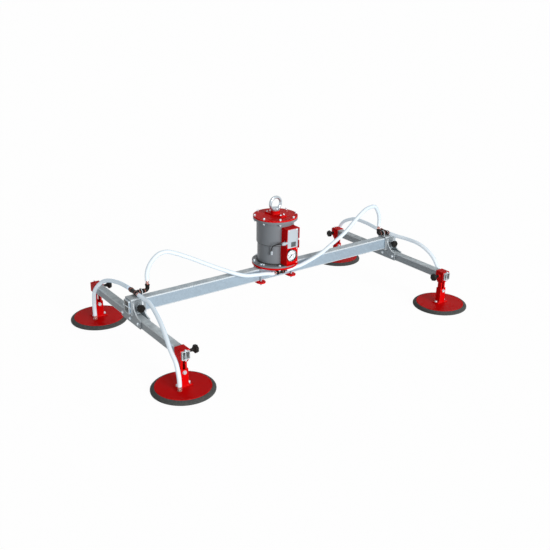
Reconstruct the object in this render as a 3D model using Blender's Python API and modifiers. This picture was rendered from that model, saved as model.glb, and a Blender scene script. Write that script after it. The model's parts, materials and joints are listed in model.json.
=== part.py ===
import math

import bmesh
import bpy
from mathutils import Matrix, Vector

mm = 0.001

# The origin is on the floor under the middle of the beam: X runs along the beam, Y along the arms.
gap = 0.3 * mm  # left between pieces that touch
hole_clearance = 0.5 * mm
large_sides = 32
round_sides = 24
pipe_sides = 12
small_sides = 8
shank_sides = 6

# Main beam, a rectangular tube
beam_half_length = 1056 * mm
beam_width = 60 * mm
beam_height = 80 * mm
beam_wall = 4 * mm
beam_corner = 6 * mm
stop_bolt_radius = 3 * mm
stop_bolt_across = 9 * mm
stop_bolt_head = 4 * mm
beam_stop_inset = 5 * mm  # from the beam's end

# Cross arms, square tubes
arm_half_length = 588.5 * mm
arm_size = 50 * mm
arm_wall = 4 * mm
arm_corner = 5 * mm
arm_height = 220 * mm  # of the tube's middle above the floor
arm_inset = 56 * mm  # of the arm's middle from the beam's end
arm_stop_inset = 5 * mm
arm_stop_tail = 7 * mm

# Saddles, which slide on the beam and carry the arms
saddle_inboard = 52 * mm  # from the arm's middle towards the beam's middle
saddle_outboard = 43 * mm
saddle_wall = 8 * mm
saddle_clearance = 1 * mm
saddle_drop = 7 * mm  # from the sleeve's underside to the arm
side_plate = 8 * mm
side_plate_half = 120 * mm
side_plate_rise = 5 * mm  # of the plate's ends above the arm
gusset_below_top = 12 * mm
arm_bolt_pitch = 100 * mm
arm_bolt_radius = 5 * mm
arm_bolt_across = 16 * mm
arm_bolt_head = 7 * mm
arm_bolt_rise = 3 * mm  # above the arm's middle
holder_inboard = 44 * mm
holder_thickness = 4 * mm
holder_half_width = 20 * mm
holder_height = 39 * mm
holder_corner = 12 * mm

# Clamp knobs
knob_radius = 25 * mm
knob_thickness = 20 * mm
knob_lobes = 7
knob_lobe_depth = 2.2 * mm
knob_points = 28
knob_edge = 3 * mm
knob_hub_radius = 12 * mm
knob_hub_length = 14 * mm
knob_stud_radius = 6 * mm
boss_radius = 11 * mm
saddle_boss = 7 * mm
saddle_knob_stem = 8 * mm
pad_boss = 11 * mm
pad_knob_stem = 18 * mm

# Hose fittings on the saddles
fitting_y = 5 * mm
fitting_above_saddle = 20 * mm
elbow_inboard = 87 * mm
elbow_rise = 38 * mm
elbow_radius = 15 * mm
tee_inboard = 9 * mm
fitting_radius = 12 * mm
fitting_nut = 30 * mm
fitting_nut_thickness = 8 * mm
tee_radius = 14 * mm
tee_front = 22 * mm
tee_back = 60 * mm
barb_length = 22 * mm
barb_radius = 8 * mm
barb_ring_radius = 9.5 * mm
barb_ring = 4 * mm
hose_radius = 12.5 * mm

# Pad brackets, which slide on the arms
pad_y = 545 * mm
bracket_length = 65 * mm
bracket_wall = 4.5 * mm
bracket_clearance = 0.5 * mm
hanger_width = 40 * mm
hanger_depth = 30 * mm
hanger_wall = 4 * mm
hanger_length = 98 * mm
slot_width = 15 * mm
slot_length = 76 * mm
slot_land = 10 * mm  # of the hanger under the slot
cheek_thickness = 5 * mm
cheek_height = 22 * mm

# Pad yokes, in which the hangers run
yoke_wall = 4 * mm
yoke_clearance = 1 * mm
yoke_height = 98 * mm
yoke_bolt_height = 80 * mm  # above the foot
yoke_bolt_radius = 6 * mm
yoke_bolt_across = 19 * mm
yoke_bolt_head = 8 * mm
foot_half_width = 46 * mm
foot_half_depth = 25 * mm
foot_thickness = 6 * mm
foot_bolt_x = 36 * mm
foot_bolt_across = 15 * mm
foot_bolt_head = 8 * mm

# Suction pads
disc_radius = 157 * mm
disc_thickness = 8 * mm
disc_underside = 15.7 * mm
disc_edge = 1.5 * mm
seal_radius = 180 * mm
seal_inner_radius = 132 * mm
seal_bead = 5.5 * mm  # of rubber over the level of the disc's underside
spigot_x = 47 * mm
spigot_y = 46 * mm
spigot_base = 6 * mm
spigot_bore = 4 * mm

# Vacuum cylinder on the middle of the beam
packing = 8.7 * mm
packing_x = 75 * mm
packing_half_width = 18 * mm
packing_half_length = 50 * mm
base_thickness = 12 * mm
low_flange = 11.4 * mm
liner_radius = 113.5 * mm
liner_wall = 5.5 * mm
base_reach = 34.5 * mm  # of the base plate past the liner
liner_height = 301.3 * mm
jacket_wall = 6 * mm
jacket_length = 160.7 * mm
top_flange = 9.7 * mm
cover_reach = 28.5 * mm  # of the cover past the liner
cover_thickness = 10 * mm
flange_bolts = 8
flange_bolt_out = 21.9 * mm  # of the bolts' middles from the liner
flange_bolt_radius = 4 * mm
flange_bolt_across = 13 * mm
flange_bolt_head = 6.5 * mm
bush_radius = 30 * mm
bush_height = 11.7 * mm
lug_width = 50 * mm
lug_reach = 78 * mm
lug_thickness = 8 * mm
lug_turn = math.radians(11)
lug_screw_spread = 14 * mm
lug_screw_inset = 19 * mm
lug_screw_across = 10 * mm
lug_screw_head = 5 * mm
piston_clearance = 4 * mm
piston_thickness = 18 * mm
piston_lift = 18 * mm  # of its underside above the base plate
groove_depth = 6 * mm
groove_height = 8 * mm
bore_clearance = 0.5 * mm
rod_radius = 18 * mm
rod_collar_radius = 26 * mm
rod_collar = 6 * mm
rod_socket = 6 * mm  # of the rod in its head
head_radius = 29 * mm
head_height = 15.5 * mm
head_hole_radius = 2.5 * mm
head_hole_depth = 8 * mm
eye_ring_radius = 39.5 * mm
eye_bar = 9.5 * mm
eye_across = 50 * mm
eye_nut = 20 * mm
eye_centre = 26 * mm  # from the nut's top to the ring's middle
eye_stud_radius = 8 * mm
eye_stud = 6 * mm

# Beam clamp of the cylinder
clamp_rod_radius = 5 * mm
clamp_rod_y = 38.5 * mm
clamp_left_out = 21 * mm  # of the left rods from the liner
clamp_right_x = 106 * mm
clamp_bar_half_width = 30 * mm
clamp_bar_thickness = 9 * mm
clamp_nut_across = 16 * mm
clamp_nut = 7 * mm
clamp_rod_end = 5 * mm  # of thread past the nut
clamp_rod_thread = 9 * mm  # of the right rods in the base plate

# Middle tee of the vacuum line
middle_tee_x = -10 * mm
middle_tee_y = -75 * mm
middle_tee_z = 311 * mm
middle_tee_half = 30 * mm
middle_tee_radius = 14 * mm
port_radius = 7 * mm
port_hex = 19 * mm
port_hex_height = 8 * mm

# Instrument housing on the cylinder's front
housing_left = -34 * mm
housing_right = 63 * mm
housing_above_base = 20 * mm
housing_height = 243 * mm
housing_bite = 28.5 * mm  # of its sides past the liner's front
housing_sheet = 3 * mm
panel_out = 44.5 * mm  # from the liner's front
hood_depth = 17 * mm
hood_above_base = 128 * mm
left_notch_bottom = 149 * mm  # above the base plate
left_notch_height = 41 * mm
left_notch_behind = 14 * mm  # the panel
right_notch_bottom = 178 * mm
right_notch_height = 15 * mm
right_notch_before = 6 * mm  # the panel
alarm_left = -21 * mm
alarm_right = 59.5 * mm
alarm_above_base = 133 * mm
alarm_below_top = 7 * mm  # of the housing
alarm_before = 4 * mm  # the panel
alarm_behind = 30 * mm
alarm_border = 4 * mm
alarm_border_height = 2 * mm
alarm_flange = 4 * mm  # of the front past the body, on each side
gland_above_base = 169.5 * mm
gland_stem_radius = 8 * mm
gland_radius = 11 * mm
gland_start = -34 * mm
gland_body = 16 * mm
gland_end = -62 * mm
button_x = 25.5 * mm
button_above_base = 154.5 * mm
button_width = 36 * mm
button_height = 31 * mm
button_depth = 9 * mm
button_proud = 1 * mm
button_travel = 3 * mm
button_clearance = 0.6 * mm
gauge_x = 8.5 * mm
gauge_above_base = 85.5 * mm
gauge_radius = 39 * mm
gauge_rim = 4.5 * mm
gauge_depth = 14 * mm
dial_depth = 5 * mm  # of the case behind the dial's face
needle_length = 27 * mm
needle_tail = 10 * mm
needle_width = 2.4 * mm
needle_thickness = 1 * mm
needle_above_dial = 2 * mm
needle_rest = math.radians(135)
spindle_radius = 1.5 * mm
lens_thickness = 2 * mm
lens_seat = 2 * mm  # of the rim around the lens past the case's bore

# Vacuum sensor on the cylinder's wall
sensor_angle = math.radians(-135.6)
sensor_out = 10.2 * mm  # of its axis from the liner's wall
sensor_radius = 7.5 * mm
sensor_above_base = 84 * mm
sensor_length = 26 * mm
sensor_stub_radius = 4.5 * mm
cable_radius = 4 * mm
cable_spacing = 12 * mm
hose_spacing = 36 * mm

# Levels that follow
arm_x = beam_half_length - arm_inset
disc_top = disc_underside + disc_thickness
spigot_top = disc_top + spigot_base + barb_length
foot_bottom = disc_top + gap
foot_top = foot_bottom + foot_thickness
arm_top = arm_height + arm_size / 2
arm_bottom = arm_height - arm_size / 2
saddle_bottom = arm_top + saddle_drop
beam_bottom = saddle_bottom + saddle_wall + saddle_clearance
beam_top = beam_bottom + beam_height
beam_middle = beam_bottom + beam_height / 2
saddle_top = beam_top + saddle_clearance + saddle_wall
saddle_half_width = beam_width / 2 + saddle_clearance + saddle_wall
fitting_z = saddle_top + fitting_above_saddle
bracket_half = arm_size / 2 + bracket_clearance + bracket_wall
bracket_bottom = arm_height - bracket_half
hanger_bottom = bracket_bottom - hanger_length
base_bottom = beam_top + gap + packing
base_top = base_bottom + base_thickness
base_radius = liner_radius + base_reach
cover_radius = liner_radius + cover_reach
flange_bolt_circle = liner_radius + flange_bolt_out
piston_radius = liner_radius - liner_wall - piston_clearance
clamp_left_x = -liner_radius - clamp_left_out
low_flange_bottom = base_top + gap
low_flange_top = low_flange_bottom + low_flange
liner_top = low_flange_bottom + liner_height
jacket_radius = liner_radius + gap + jacket_wall
jacket_bottom = liner_top - jacket_length
top_flange_bottom = liner_top - top_flange
cover_bottom = liner_top + gap
cover_top = cover_bottom + cover_thickness
bush_bottom = cover_top + gap
bush_top = bush_bottom + bush_height
head_bottom = bush_top + gap
head_top = head_bottom + head_height
eye_bottom = head_top + gap
eye_middle = eye_bottom + eye_nut + eye_centre
piston_bottom = base_top + piston_lift
piston_top = piston_bottom + piston_thickness
groove_bottom = piston_bottom + (piston_thickness - groove_height) / 2
clamp_bar_top = beam_bottom - gap
clamp_bar_bottom = clamp_bar_top - clamp_bar_thickness
housing_bottom = base_top + housing_above_base
housing_top = housing_bottom + housing_height
housing_back = housing_bite - liner_radius
panel_y = -liner_radius - panel_out
hood_y = panel_y - hood_depth
hood_bottom = base_top + hood_above_base
left_notch = (base_top + left_notch_bottom, base_top + left_notch_bottom + left_notch_height)
left_notch_back = panel_y + left_notch_behind
right_notch = (base_top + right_notch_bottom, base_top + right_notch_bottom + right_notch_height)
right_notch_back = panel_y - right_notch_before
alarm_bottom = base_top + alarm_above_base
alarm_top = housing_top - alarm_below_top
alarm_front = panel_y - alarm_before
alarm_back = panel_y + alarm_behind
gland_y = panel_y
gland_z = base_top + gland_above_base
button_z = base_top + button_above_base
gauge_z = base_top + gauge_above_base
sensor_bottom = base_top + sensor_above_base
sensor_top = sensor_bottom + sensor_length
dial_y = panel_y - gap - dial_depth
gauge_front = panel_y - gap - gauge_depth

# The middles of the hoses and the cable, between the fittings that hold their ends; x, y and z in mm
laid_arm_x = 1000 * mm  # the place of the arms that these routes are for
main_hose_routes = {
    "left": [(-120, -76, 322), (-200, -78, 332), (-290, -72, 347), (-410, -60, 400), (-535, -45, 465),
             (-660, -34, 533), (-768, -25, 584), (-815, -18, 590), (-855, -12, 575), (-893, -2, 530),
             (-911, 4, 480)],
    "right": [(100, -77, 318), (165, -80, 326), (310, -76, 364), (420, -70, 414), (530, -65, 468),
              (630, -54, 536), (715, -45, 587), (790, -27, 598), (845, -18, 588), (893, -4, 530),
              (911, 3, 480)],
}
branch_hose_routes = {
    "front_left": [(-988, -100, 366), (-986, -163, 363), (-1003, -285, 333), (-1025, -398, 291),
                   (-1046, -497, 235), (-1047, -560, 178), (-1048, -588, 110)],
    "back_left": [(-986, 150, 362), (-987, 238, 353), (-1000, 340, 335), (-1015, 409, 308),
                  (-1038, 455, 262), (-1046, 485, 213), (-1047, 497, 148), (-1047, 500, 90)],
    "front_right": [(999, -100, 367), (1015, -177, 366), (1022, -279, 362), (1032, -355, 336),
                    (1041, -411, 296), (1047, -445, 250), (1048, -480, 190), (1047, -497, 110)],
    "back_right": [(998, 150, 371), (1010, 230, 372), (1018, 323, 369), (1030, 400, 358),
                   (1042, 515, 307), (1047, 571, 251), (1047, 590, 190), (1047, 592, 110)],
}
# The cable's own points, from the gland's end, from half way and from the plug's top, in mm
cable_leaves = [(-9.7, 4, 1.5), (-16.7, 15, -0.5)]
cable_middle = (-10.7, 1.2, 18)
cable_arrives = [(-1.6, -13.5, 32.7), (-1.6, -2.5, 15.7)]

red = ("painted red", (0.62, 0.01, 0.015), 0.35, 0.0)
zinc = ("galvanised steel", (0.5, 0.56, 0.62), 0.4, 0.5)
grey = ("painted grey", (0.22, 0.24, 0.25), 0.4, 0.0)
steel = ("bright steel", (0.72, 0.74, 0.76), 0.3, 0.9)
alloy = ("cast alloy", (0.5, 0.52, 0.54), 0.5, 0.7)
black = ("black plastic", (0.02, 0.018, 0.016), 0.5, 0.0)
rubber = ("black rubber", (0.05, 0.052, 0.05), 0.7, 0.0)
hose_plastic = ("hose plastic", (0.88, 0.9, 0.92), 0.25, 0.0)
pale = ("pale plastic", (0.62, 0.7, 0.76), 0.4, 0.0)
dark_grey = ("dark grey plastic", (0.13, 0.15, 0.16), 0.5, 0.0)
clear = ("clear plastic", (0.9, 0.95, 0.97), 0.05, 0.0)

# Maps an outline's x, y and thickness to Y, Z and X, so that the plate stands across the beam.
across_beam = Matrix(((0, 0, 1, 0), (1, 0, 0, 0), (0, 1, 0, 0), (0, 0, 0, 1)))


def clear_scene():
    for obj in list(bpy.data.objects):
        bpy.data.objects.remove(obj)
    for name in ("vacuum_lifter", "cutters"):
        collection = bpy.data.collections.new(name)
        bpy.context.scene.collection.children.link(collection)


def material(look):
    name, colour, roughness, metallic = look
    found = bpy.data.materials.get(name)
    if found:
        return found
    made = bpy.data.materials.new(name)
    made.use_nodes = True
    shader = made.node_tree.nodes["Principled BSDF"]
    shader.inputs["Base Color"].default_value = (*colour, 1)
    shader.inputs["Roughness"].default_value = roughness
    shader.inputs["Metallic"].default_value = metallic
    made.diffuse_color = (*colour, 1)
    return made


def helper(bm):
    """An object for cutting or joining, in the cutters collection."""
    mesh = bpy.data.meshes.new("helper")
    bm.to_mesh(mesh)
    bm.free()
    return helper_object(mesh)


def helper_object(data):
    obj = bpy.data.objects.new("helper", data)
    obj.hide_render = True
    obj.display_type = "WIRE"
    bpy.data.collections["cutters"].objects.link(obj)
    return obj


def baked(obj):
    """The mesh that an object makes with its modifiers, in world space. The object itself goes."""
    bpy.context.view_layer.update()
    graph = bpy.context.evaluated_depsgraph_get()
    mesh = bpy.data.meshes.new_from_object(obj.evaluated_get(graph))
    mesh.transform(obj.matrix_world)
    bpy.data.objects.remove(obj)
    return mesh


def merged(mesh):
    """A bmesh of the mesh with its seams closed and its faces turned outward."""
    bm = bmesh.new()
    bm.from_mesh(mesh)
    bmesh.ops.remove_doubles(bm, verts=bm.verts, dist=1e-6)
    bmesh.ops.recalc_face_normals(bm, faces=bm.faces)
    return bm


def box(x, y, z, bevel=0.0, axis=0):
    """A box between pairs of coordinates. A bevel rounds its edges along one axis."""
    size = Vector((abs(x[1] - x[0]), abs(y[1] - y[0]), abs(z[1] - z[0])))
    middle = Vector((sum(x), sum(y), sum(z))) / 2
    bm = bmesh.new()
    bmesh.ops.create_cube(bm, size=1, matrix=Matrix.Translation(middle) @ Matrix.Diagonal((*size, 1)))
    if bevel:
        edges = [e for e in bm.edges if abs((e.verts[1].co - e.verts[0].co)[axis]) > size[axis] / 2]
        bmesh.ops.bevel(bm, geom=edges, offset=bevel, segments=3, affect="EDGES", profile=0.5)
    return helper(bm)


def cylinder(radius, start, end, sides=small_sides, end_radius=None):
    start, end = Vector(start), Vector(end)
    along = end - start
    turn = along.to_track_quat("Z", "Y").to_matrix().to_4x4()
    bm = bmesh.new()
    bmesh.ops.create_cone(
        bm,
        cap_ends=True,
        segments=sides,
        radius1=radius,
        radius2=radius if end_radius is None else end_radius,
        depth=along.length,
        matrix=Matrix.Translation((start + end) / 2) @ turn,
    )
    return helper(bm)


def hexagon(across, start, end):
    return cylinder(across / math.sqrt(3), start, end, 6)


def ball(radius, middle):
    bm = bmesh.new()
    place = Matrix.Translation(middle)
    bmesh.ops.create_uvsphere(bm, u_segments=14, v_segments=7, radius=radius, matrix=place)
    return helper(bm)


def plate(outline, thickness, place):
    """A flat outline, thickened evenly to both sides and then placed by a matrix."""
    curve = bpy.data.curves.new("outline", "CURVE")
    curve.dimensions = "2D"
    curve.fill_mode = "BOTH"
    curve.extrude = thickness / 2
    spline = curve.splines.new("POLY")
    spline.points.add(len(outline) - 1)
    for point, (x, y) in zip(spline.points, outline):
        point.co = (x, y, 0, 1)
    spline.use_cyclic_u = True
    mesh = baked(helper_object(curve))
    mesh.transform(place)
    return helper(merged(mesh))


def turned(profile, steps):
    """A profile of (radius, height) points turned about the Z axis. It runs down its outer side."""
    mesh = bpy.data.meshes.new("profile")
    points = [(r, 0, z) for r, z in profile]
    count = len(points)
    hollow = min(r for r, z in profile) > 0
    edges = [(i, (i + 1) % count) for i in range(count if hollow else count - 1)]
    mesh.from_pydata(points, edges, [])
    obj = helper_object(mesh)
    screw = obj.modifiers.new("turn", "SCREW")
    screw.steps = steps
    screw.render_steps = steps
    screw.use_merge_vertices = True
    screw.merge_threshold = 1e-6
    return helper(merged(baked(obj)))


def combined(base, joins=(), cuts=()):
    """The mesh of a base with some shapes joined to it and others cut from it."""
    for operation, others in (("UNION", joins), ("DIFFERENCE", cuts)):
        for other in others:
            modifier = base.modifiers.new(operation, "BOOLEAN")
            modifier.operation = operation
            modifier.object = other
            modifier.solver = "EXACT"
    mesh = baked(base)
    for other in (*joins, *cuts):
        bpy.data.objects.remove(other)
    return mesh


def finished(mesh, name, look, origin, angle=30):
    """A mesh made ready for its object, whose origin stands at the given place."""
    mesh.transform(Matrix.Translation(-Vector(origin)))
    mesh.name = name
    mesh.materials.clear()
    mesh.materials.append(material(look))
    mesh.shade_smooth()
    mesh.set_sharp_from_angle(angle=math.radians(angle))
    return mesh


def place_object(name, data, place, parent=None, turn=0.0):
    """An object, or an empty, at a place in world space."""
    obj = bpy.data.objects.new(name, data)
    bpy.data.collections["vacuum_lifter"].objects.link(obj)
    obj.parent = parent
    obj.location = Vector(place) - world_place(parent)
    obj.rotation_euler.z = turn
    return obj


def world_place(obj):
    place = Vector()
    while obj:
        place += obj.location
        obj = obj.parent
    return place


def piece(name, mesh, look, origin=(0, 0, 0), parent=None):
    return place_object(name, finished(mesh, name, look, origin), origin, parent)


def side_name(side):
    return "left" if side < 0 else "right"


def smooth_route(points, spacing):
    """Points at even spacing along a smooth curve through the route's own points."""
    ends = [2 * points[0] - points[1], *points, 2 * points[-1] - points[-2]]
    dense = [points[0]]
    for a, b, c, d in zip(ends, ends[1:], ends[2:], ends[3:]):
        for step in range(1, 21):
            t = step / 20
            square = (2 * a - 5 * b + 4 * c - d) * t**2
            dense.append((2 * b + (c - a) * t + square + (3 * b - a - 3 * c + d) * t**3) / 2)
    length = sum((q - p).length for p, q in zip(dense, dense[1:]))
    count = max(2, round(length / spacing))
    result = [dense[0]]
    travelled = 0.0
    for p, q in zip(dense, dense[1:]):
        step = (q - p).length
        while len(result) < count and travelled + step >= length * len(result) / count:
            result.append(p.lerp(q, (length * len(result) / count - travelled) / step))
        travelled += step
    result.append(dense[-1])
    return result


def hose(name, start, route, end, radius, look, spacing):
    """A hose or cable as a round tube, which leaves each of its two fittings straight. An end is (place, way)."""
    first, last = ((Vector(place), Vector(way)) for place, way in (start, end))
    inner = [place + way * radius for place, way in (first, last)]
    middle = smooth_route([inner[0], *(Vector(p) * mm for p in route), inner[1]], spacing)
    points = [first[0], *middle, last[0]]
    curve = bpy.data.curves.new(name, "CURVE")
    curve.dimensions = "3D"
    curve.bevel_depth = radius
    curve.bevel_resolution = 2
    curve.use_fill_caps = True
    spline = curve.splines.new("POLY")
    spline.points.add(len(points) - 1)
    for point, place in zip(spline.points, points):
        point.co = (*place, 1)
    curve.materials.append(material(look))
    return place_object(name, curve, (0, 0, 0))


def square_tube(axis, half_length, half_width, half_height, wall, corner, middle):
    """A tube with round corners along X (0) or Y (1)."""
    x, y, z = middle
    shapes = []
    for inset, reach, bevel in ((0, half_length, corner), (wall, half_length + 10 * mm, corner - wall / 2)):
        across = half_width - inset
        spans = ((x - reach, x + reach), (y - across, y + across))
        if axis == 1:
            spans = ((x - across, x + across), (y - reach, y + reach))
        height = half_height - inset
        shapes.append(box(*spans, (z - height, z + height), bevel, axis))
    return helper_object(combined(shapes[0], cuts=shapes[1:]))


def main_beam():
    beam = square_tube(
        0, beam_half_length, beam_width / 2, beam_height / 2, beam_wall, beam_corner, (0, 0, beam_middle)
    )
    face = beam_width / 2
    bolts = []
    for side in (-1, 1):
        x = side * (beam_half_length - beam_stop_inset)
        z = beam_middle
        bolts.append(cylinder(stop_bolt_radius, (x, -face - 1 * mm, z), (x, face + 6 * mm, z), shank_sides))
        for way in (-1, 1):
            start = (x, way * (face - 1 * mm), z)
            bolts.append(hexagon(stop_bolt_across, start, (x, way * (face + stop_bolt_head), z)))
    piece("main_beam", combined(beam, bolts), zinc)


def side_plate_outline():
    """Half of it follows an ellipse from the arm's side up to the sleeve."""
    end_top = arm_top + side_plate_rise
    top = saddle_top - gusset_below_top
    inner = saddle_half_width - 1 * mm
    half = [(side_plate_half, arm_bottom)]
    steps = 6
    for step in range(steps, -1, -1):
        angle = math.pi / 2 * step / steps
        y = side_plate_half - (side_plate_half - inner) * math.cos(angle)
        half.append((y, top - (top - end_top) * math.sin(angle)))
    return half + [(-y, z) for y, z in reversed(half)]


def saddle_bolts(middle):
    """The three bolts through the side plates and the arm between them."""
    face = arm_size / 2 + gap + side_plate
    z = arm_height + arm_bolt_rise
    shapes = []
    for y in (-arm_bolt_pitch, 0, arm_bolt_pitch):
        end = face + arm_bolt_head
        start = (middle - end + 2 * mm, y, z)
        shapes.append(cylinder(arm_bolt_radius, start, (middle + end + 3 * mm, y, z), shank_sides))
        for way in (-1, 1):
            start = (middle + way * (face - 1 * mm), y, z)
            shapes.append(hexagon(arm_bolt_across, start, (middle + way * end, y, z)))
    return shapes


def holder_plate(x):
    """The upright plate on the sleeve, through which the hose fitting passes."""
    w = holder_half_width
    low = saddle_top - 3 * mm
    high = saddle_top + holder_height
    half = [(w, low), (w, high - holder_corner), (w - holder_corner, high)]
    outline = half + [(-y, z) for y, z in reversed(half)]
    return plate(outline, holder_thickness, Matrix.Translation((x, fitting_y, 0)) @ across_beam)


def saddle(side, parent):
    middle = side * arm_x
    ends = (middle - side * saddle_inboard, middle + side * saddle_outboard)
    width = saddle_half_width
    sleeve = box(ends, (-width, width), (saddle_bottom, saddle_top))
    joins = []
    for way in (-1, 1):
        x = middle + way * (arm_size / 2 + gap + side_plate / 2)
        joins.append(plate(side_plate_outline(), side_plate, Matrix.Translation((x, 0, 0)) @ across_beam))
    joins += saddle_bolts(middle)
    boss_face = -width - saddle_boss
    joins.append(hexagon(2 * boss_radius, (middle, -width + 2 * mm, beam_middle), (middle, boss_face, beam_middle)))
    holder_x = middle - side * holder_inboard
    joins.append(holder_plate(holder_x))
    room = beam_width / 2 + saddle_clearance
    passage = box(
        (middle - 2 * saddle_inboard, middle + 2 * saddle_inboard),
        (-room, room),
        (beam_bottom - saddle_clearance, beam_top + saddle_clearance),
    )
    stud_hole = cylinder(
        knob_stud_radius + hole_clearance,
        (middle, 0, beam_middle),
        (middle, boss_face - 10 * mm, beam_middle),
        pipe_sides,
    )
    fitting_hole = cylinder(
        fitting_radius + hole_clearance,
        (holder_x - 10 * mm, fitting_y, fitting_z),
        (holder_x + 10 * mm, fitting_y, fitting_z),
        pipe_sides,
    )
    mesh = combined(sleeve, joins, [passage, stud_hole, fitting_hole])
    piece(f"saddle_{side_name(side)}", mesh, zinc, world_place(parent), parent)


def cross_arm(side, parent):
    x = side * arm_x
    tube = square_tube(1, arm_half_length, arm_size / 2, arm_size / 2, arm_wall, arm_corner, (x, 0, arm_height))
    z = arm_height + arm_bolt_rise
    holes = []
    for y in (-arm_bolt_pitch, 0, arm_bolt_pitch):
        holes.append(cylinder(arm_bolt_radius + hole_clearance, (x - arm_size, y, z), (x + arm_size, y, z)))
    tube = helper_object(combined(tube, cuts=holes))
    stops = []
    for way in (-1, 1):
        y = way * (arm_half_length - arm_stop_inset)
        start = (x, y, arm_bottom - arm_stop_tail)
        stops.append(cylinder(stop_bolt_radius, start, (x, y, arm_top + 1 * mm), shank_sides))
        stops.append(hexagon(stop_bolt_across, (x, y, arm_top - 1 * mm), (x, y, arm_top + stop_bolt_head)))
        start = (x, y, arm_bottom + 1 * mm)
        stops.append(hexagon(stop_bolt_across, start, (x, y, arm_bottom - stop_bolt_head)))
    piece(f"cross_arm_{side_name(side)}", combined(tube, stops), zinc, world_place(parent), parent)


def barb(start, direction):
    """A barb for a hose. Its stem starts a little inside what it stands on."""
    start, direction = Vector(start), Vector(direction)
    shapes = [cylinder(barb_radius, start - 2 * mm * direction, start + barb_length * direction, pipe_sides)]
    for place in (0.3, 0.75):
        middle = start + barb_length * place * direction
        half = barb_ring / 2 * direction
        shapes.append(cylinder(barb_ring_radius, middle - half, middle + half, pipe_sides))
    return shapes


def end_fitting(side, parent):
    """The elbow and the tee on one run of pipe, with its nut against the holder plate."""
    middle = side * arm_x
    bend = Vector((middle - side * elbow_inboard, fitting_y, fitting_z))
    tee = Vector((middle - side * tee_inboard, fitting_y, fitting_z))
    top = bend + Vector((0, 0, elbow_rise))
    front = tee - Vector((0, tee_front, 0))
    back = tee + Vector((0, tee_back, 0))
    joins = [
        cylinder(fitting_radius + 1 * mm, bend, top, pipe_sides),
        ball(elbow_radius, bend),
        cylinder(tee_radius, front, back, pipe_sides),
        *barb(top, (0, 0, 1)),
        *barb(front, (0, -1, 0)),
        *barb(back, (0, 1, 0)),
    ]
    plate_face = middle - side * (holder_inboard + holder_thickness / 2 + gap)
    start = (plate_face, fitting_y, fitting_z)
    joins.append(hexagon(fitting_nut, start, (plate_face - side * fitting_nut_thickness, fitting_y, fitting_z)))
    run = cylinder(fitting_radius, bend, tee, pipe_sides)
    piece(f"end_fitting_{side_name(side)}", combined(run, joins), black, world_place(parent), parent)


def star_prism():
    """The knob's grip, with slightly drawn-in rims."""
    bm = bmesh.new()
    rows = []
    for height, inset in (
        (0, knob_edge),
        (knob_edge, 0),
        (knob_thickness - knob_edge, 0),
        (knob_thickness, knob_edge),
    ):
        row = []
        for step in range(knob_points):
            angle = 2 * math.pi * step / knob_points
            wave = (1 - math.cos(knob_lobes * angle)) / 2
            radius = knob_radius - inset - knob_lobe_depth * wave
            row.append(bm.verts.new((radius * math.cos(angle), radius * math.sin(angle), height)))
        rows.append(row)
    bm.faces.new(reversed(rows[0]))
    bm.faces.new(rows[-1])
    for low, high in zip(rows, rows[1:]):
        for i in range(knob_points):
            j = (i + 1) % knob_points
            bm.faces.new((low[i], low[j], high[j], high[i]))
    return bm


def knob_mesh(stem, reach):
    """A star knob along +Z: its stud reaches back from the boss's face at the origin."""
    grip = stem + knob_hub_length
    bm = star_prism()
    bmesh.ops.translate(bm, verts=bm.verts, vec=(0, 0, grip))
    hub = cylinder(knob_hub_radius, (0, 0, stem), (0, 0, grip + 3 * mm), pipe_sides)
    stud = cylinder(knob_stud_radius, (0, 0, -reach), (0, 0, stem + 2 * mm), pipe_sides)
    return combined(helper(bm), [hub, stud])


def saddle_knob(side, parent):
    face = saddle_half_width + saddle_boss
    mesh = knob_mesh(saddle_knob_stem, face - beam_width / 2 - gap)
    place = Vector((side * arm_x, -face, beam_middle))
    mesh.transform(Matrix.Translation(place) @ Matrix.Rotation(math.radians(90), 4, "X"))
    piece(f"saddle_knob_{side_name(side)}", mesh, black, place, parent)


def bracket_cheek(x):
    """A tapered plate between the sleeve's underside and the hanger's side."""
    wide = bracket_length / 2 - 1 * mm
    narrow = hanger_depth / 2
    half = [
        (narrow, bracket_bottom - cheek_height),
        (wide, bracket_bottom - 3 * mm),
        (wide, bracket_bottom + 2 * mm),
    ]
    outline = half + [(-y, z) for y, z in reversed(half)]
    return plate(outline, cheek_thickness, Matrix.Translation((x, 0, 0)) @ across_beam)


def bracket_mesh():
    """The sleeve and the slotted hanger about a pad's own middle, with the clamp's boss towards +X."""
    half = bracket_half
    length = bracket_length / 2
    sleeve = box((-half, half), (-length, length), (arm_height - half, arm_height + half), 3 * mm, 1)
    w, d = hanger_width / 2, hanger_depth / 2
    boss_face = half + pad_boss
    joins = [
        box((-w, w), (-d, d), (hanger_bottom, bracket_bottom + 2 * mm)),
        bracket_cheek(-w - cheek_thickness / 2 + 1 * mm),
        bracket_cheek(w + cheek_thickness / 2 - 1 * mm),
        cylinder(boss_radius, (half - 2 * mm, 0, arm_height), (boss_face, 0, arm_height), pipe_sides),
    ]
    room = arm_size / 2 + bracket_clearance
    wall = hanger_wall
    slot = slot_width / 2
    slot_bottom = hanger_bottom + slot_land
    cuts = [
        box((-room, room), (-2 * length, 2 * length), (arm_height - room, arm_height + room)),
        box((wall - w, w - wall), (wall - d, d - wall), (hanger_bottom - 5 * mm, bracket_bottom)),
        box((-slot, slot), (-2 * d, 2 * d), (slot_bottom, slot_bottom + slot_length), slot - 0.5 * mm, 1),
        cylinder(
            knob_stud_radius + hole_clearance,
            (0, 0, arm_height),
            (boss_face + 5 * mm, 0, arm_height),
            pipe_sides,
        ),
    ]
    return combined(sleeve, joins, cuts)


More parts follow.
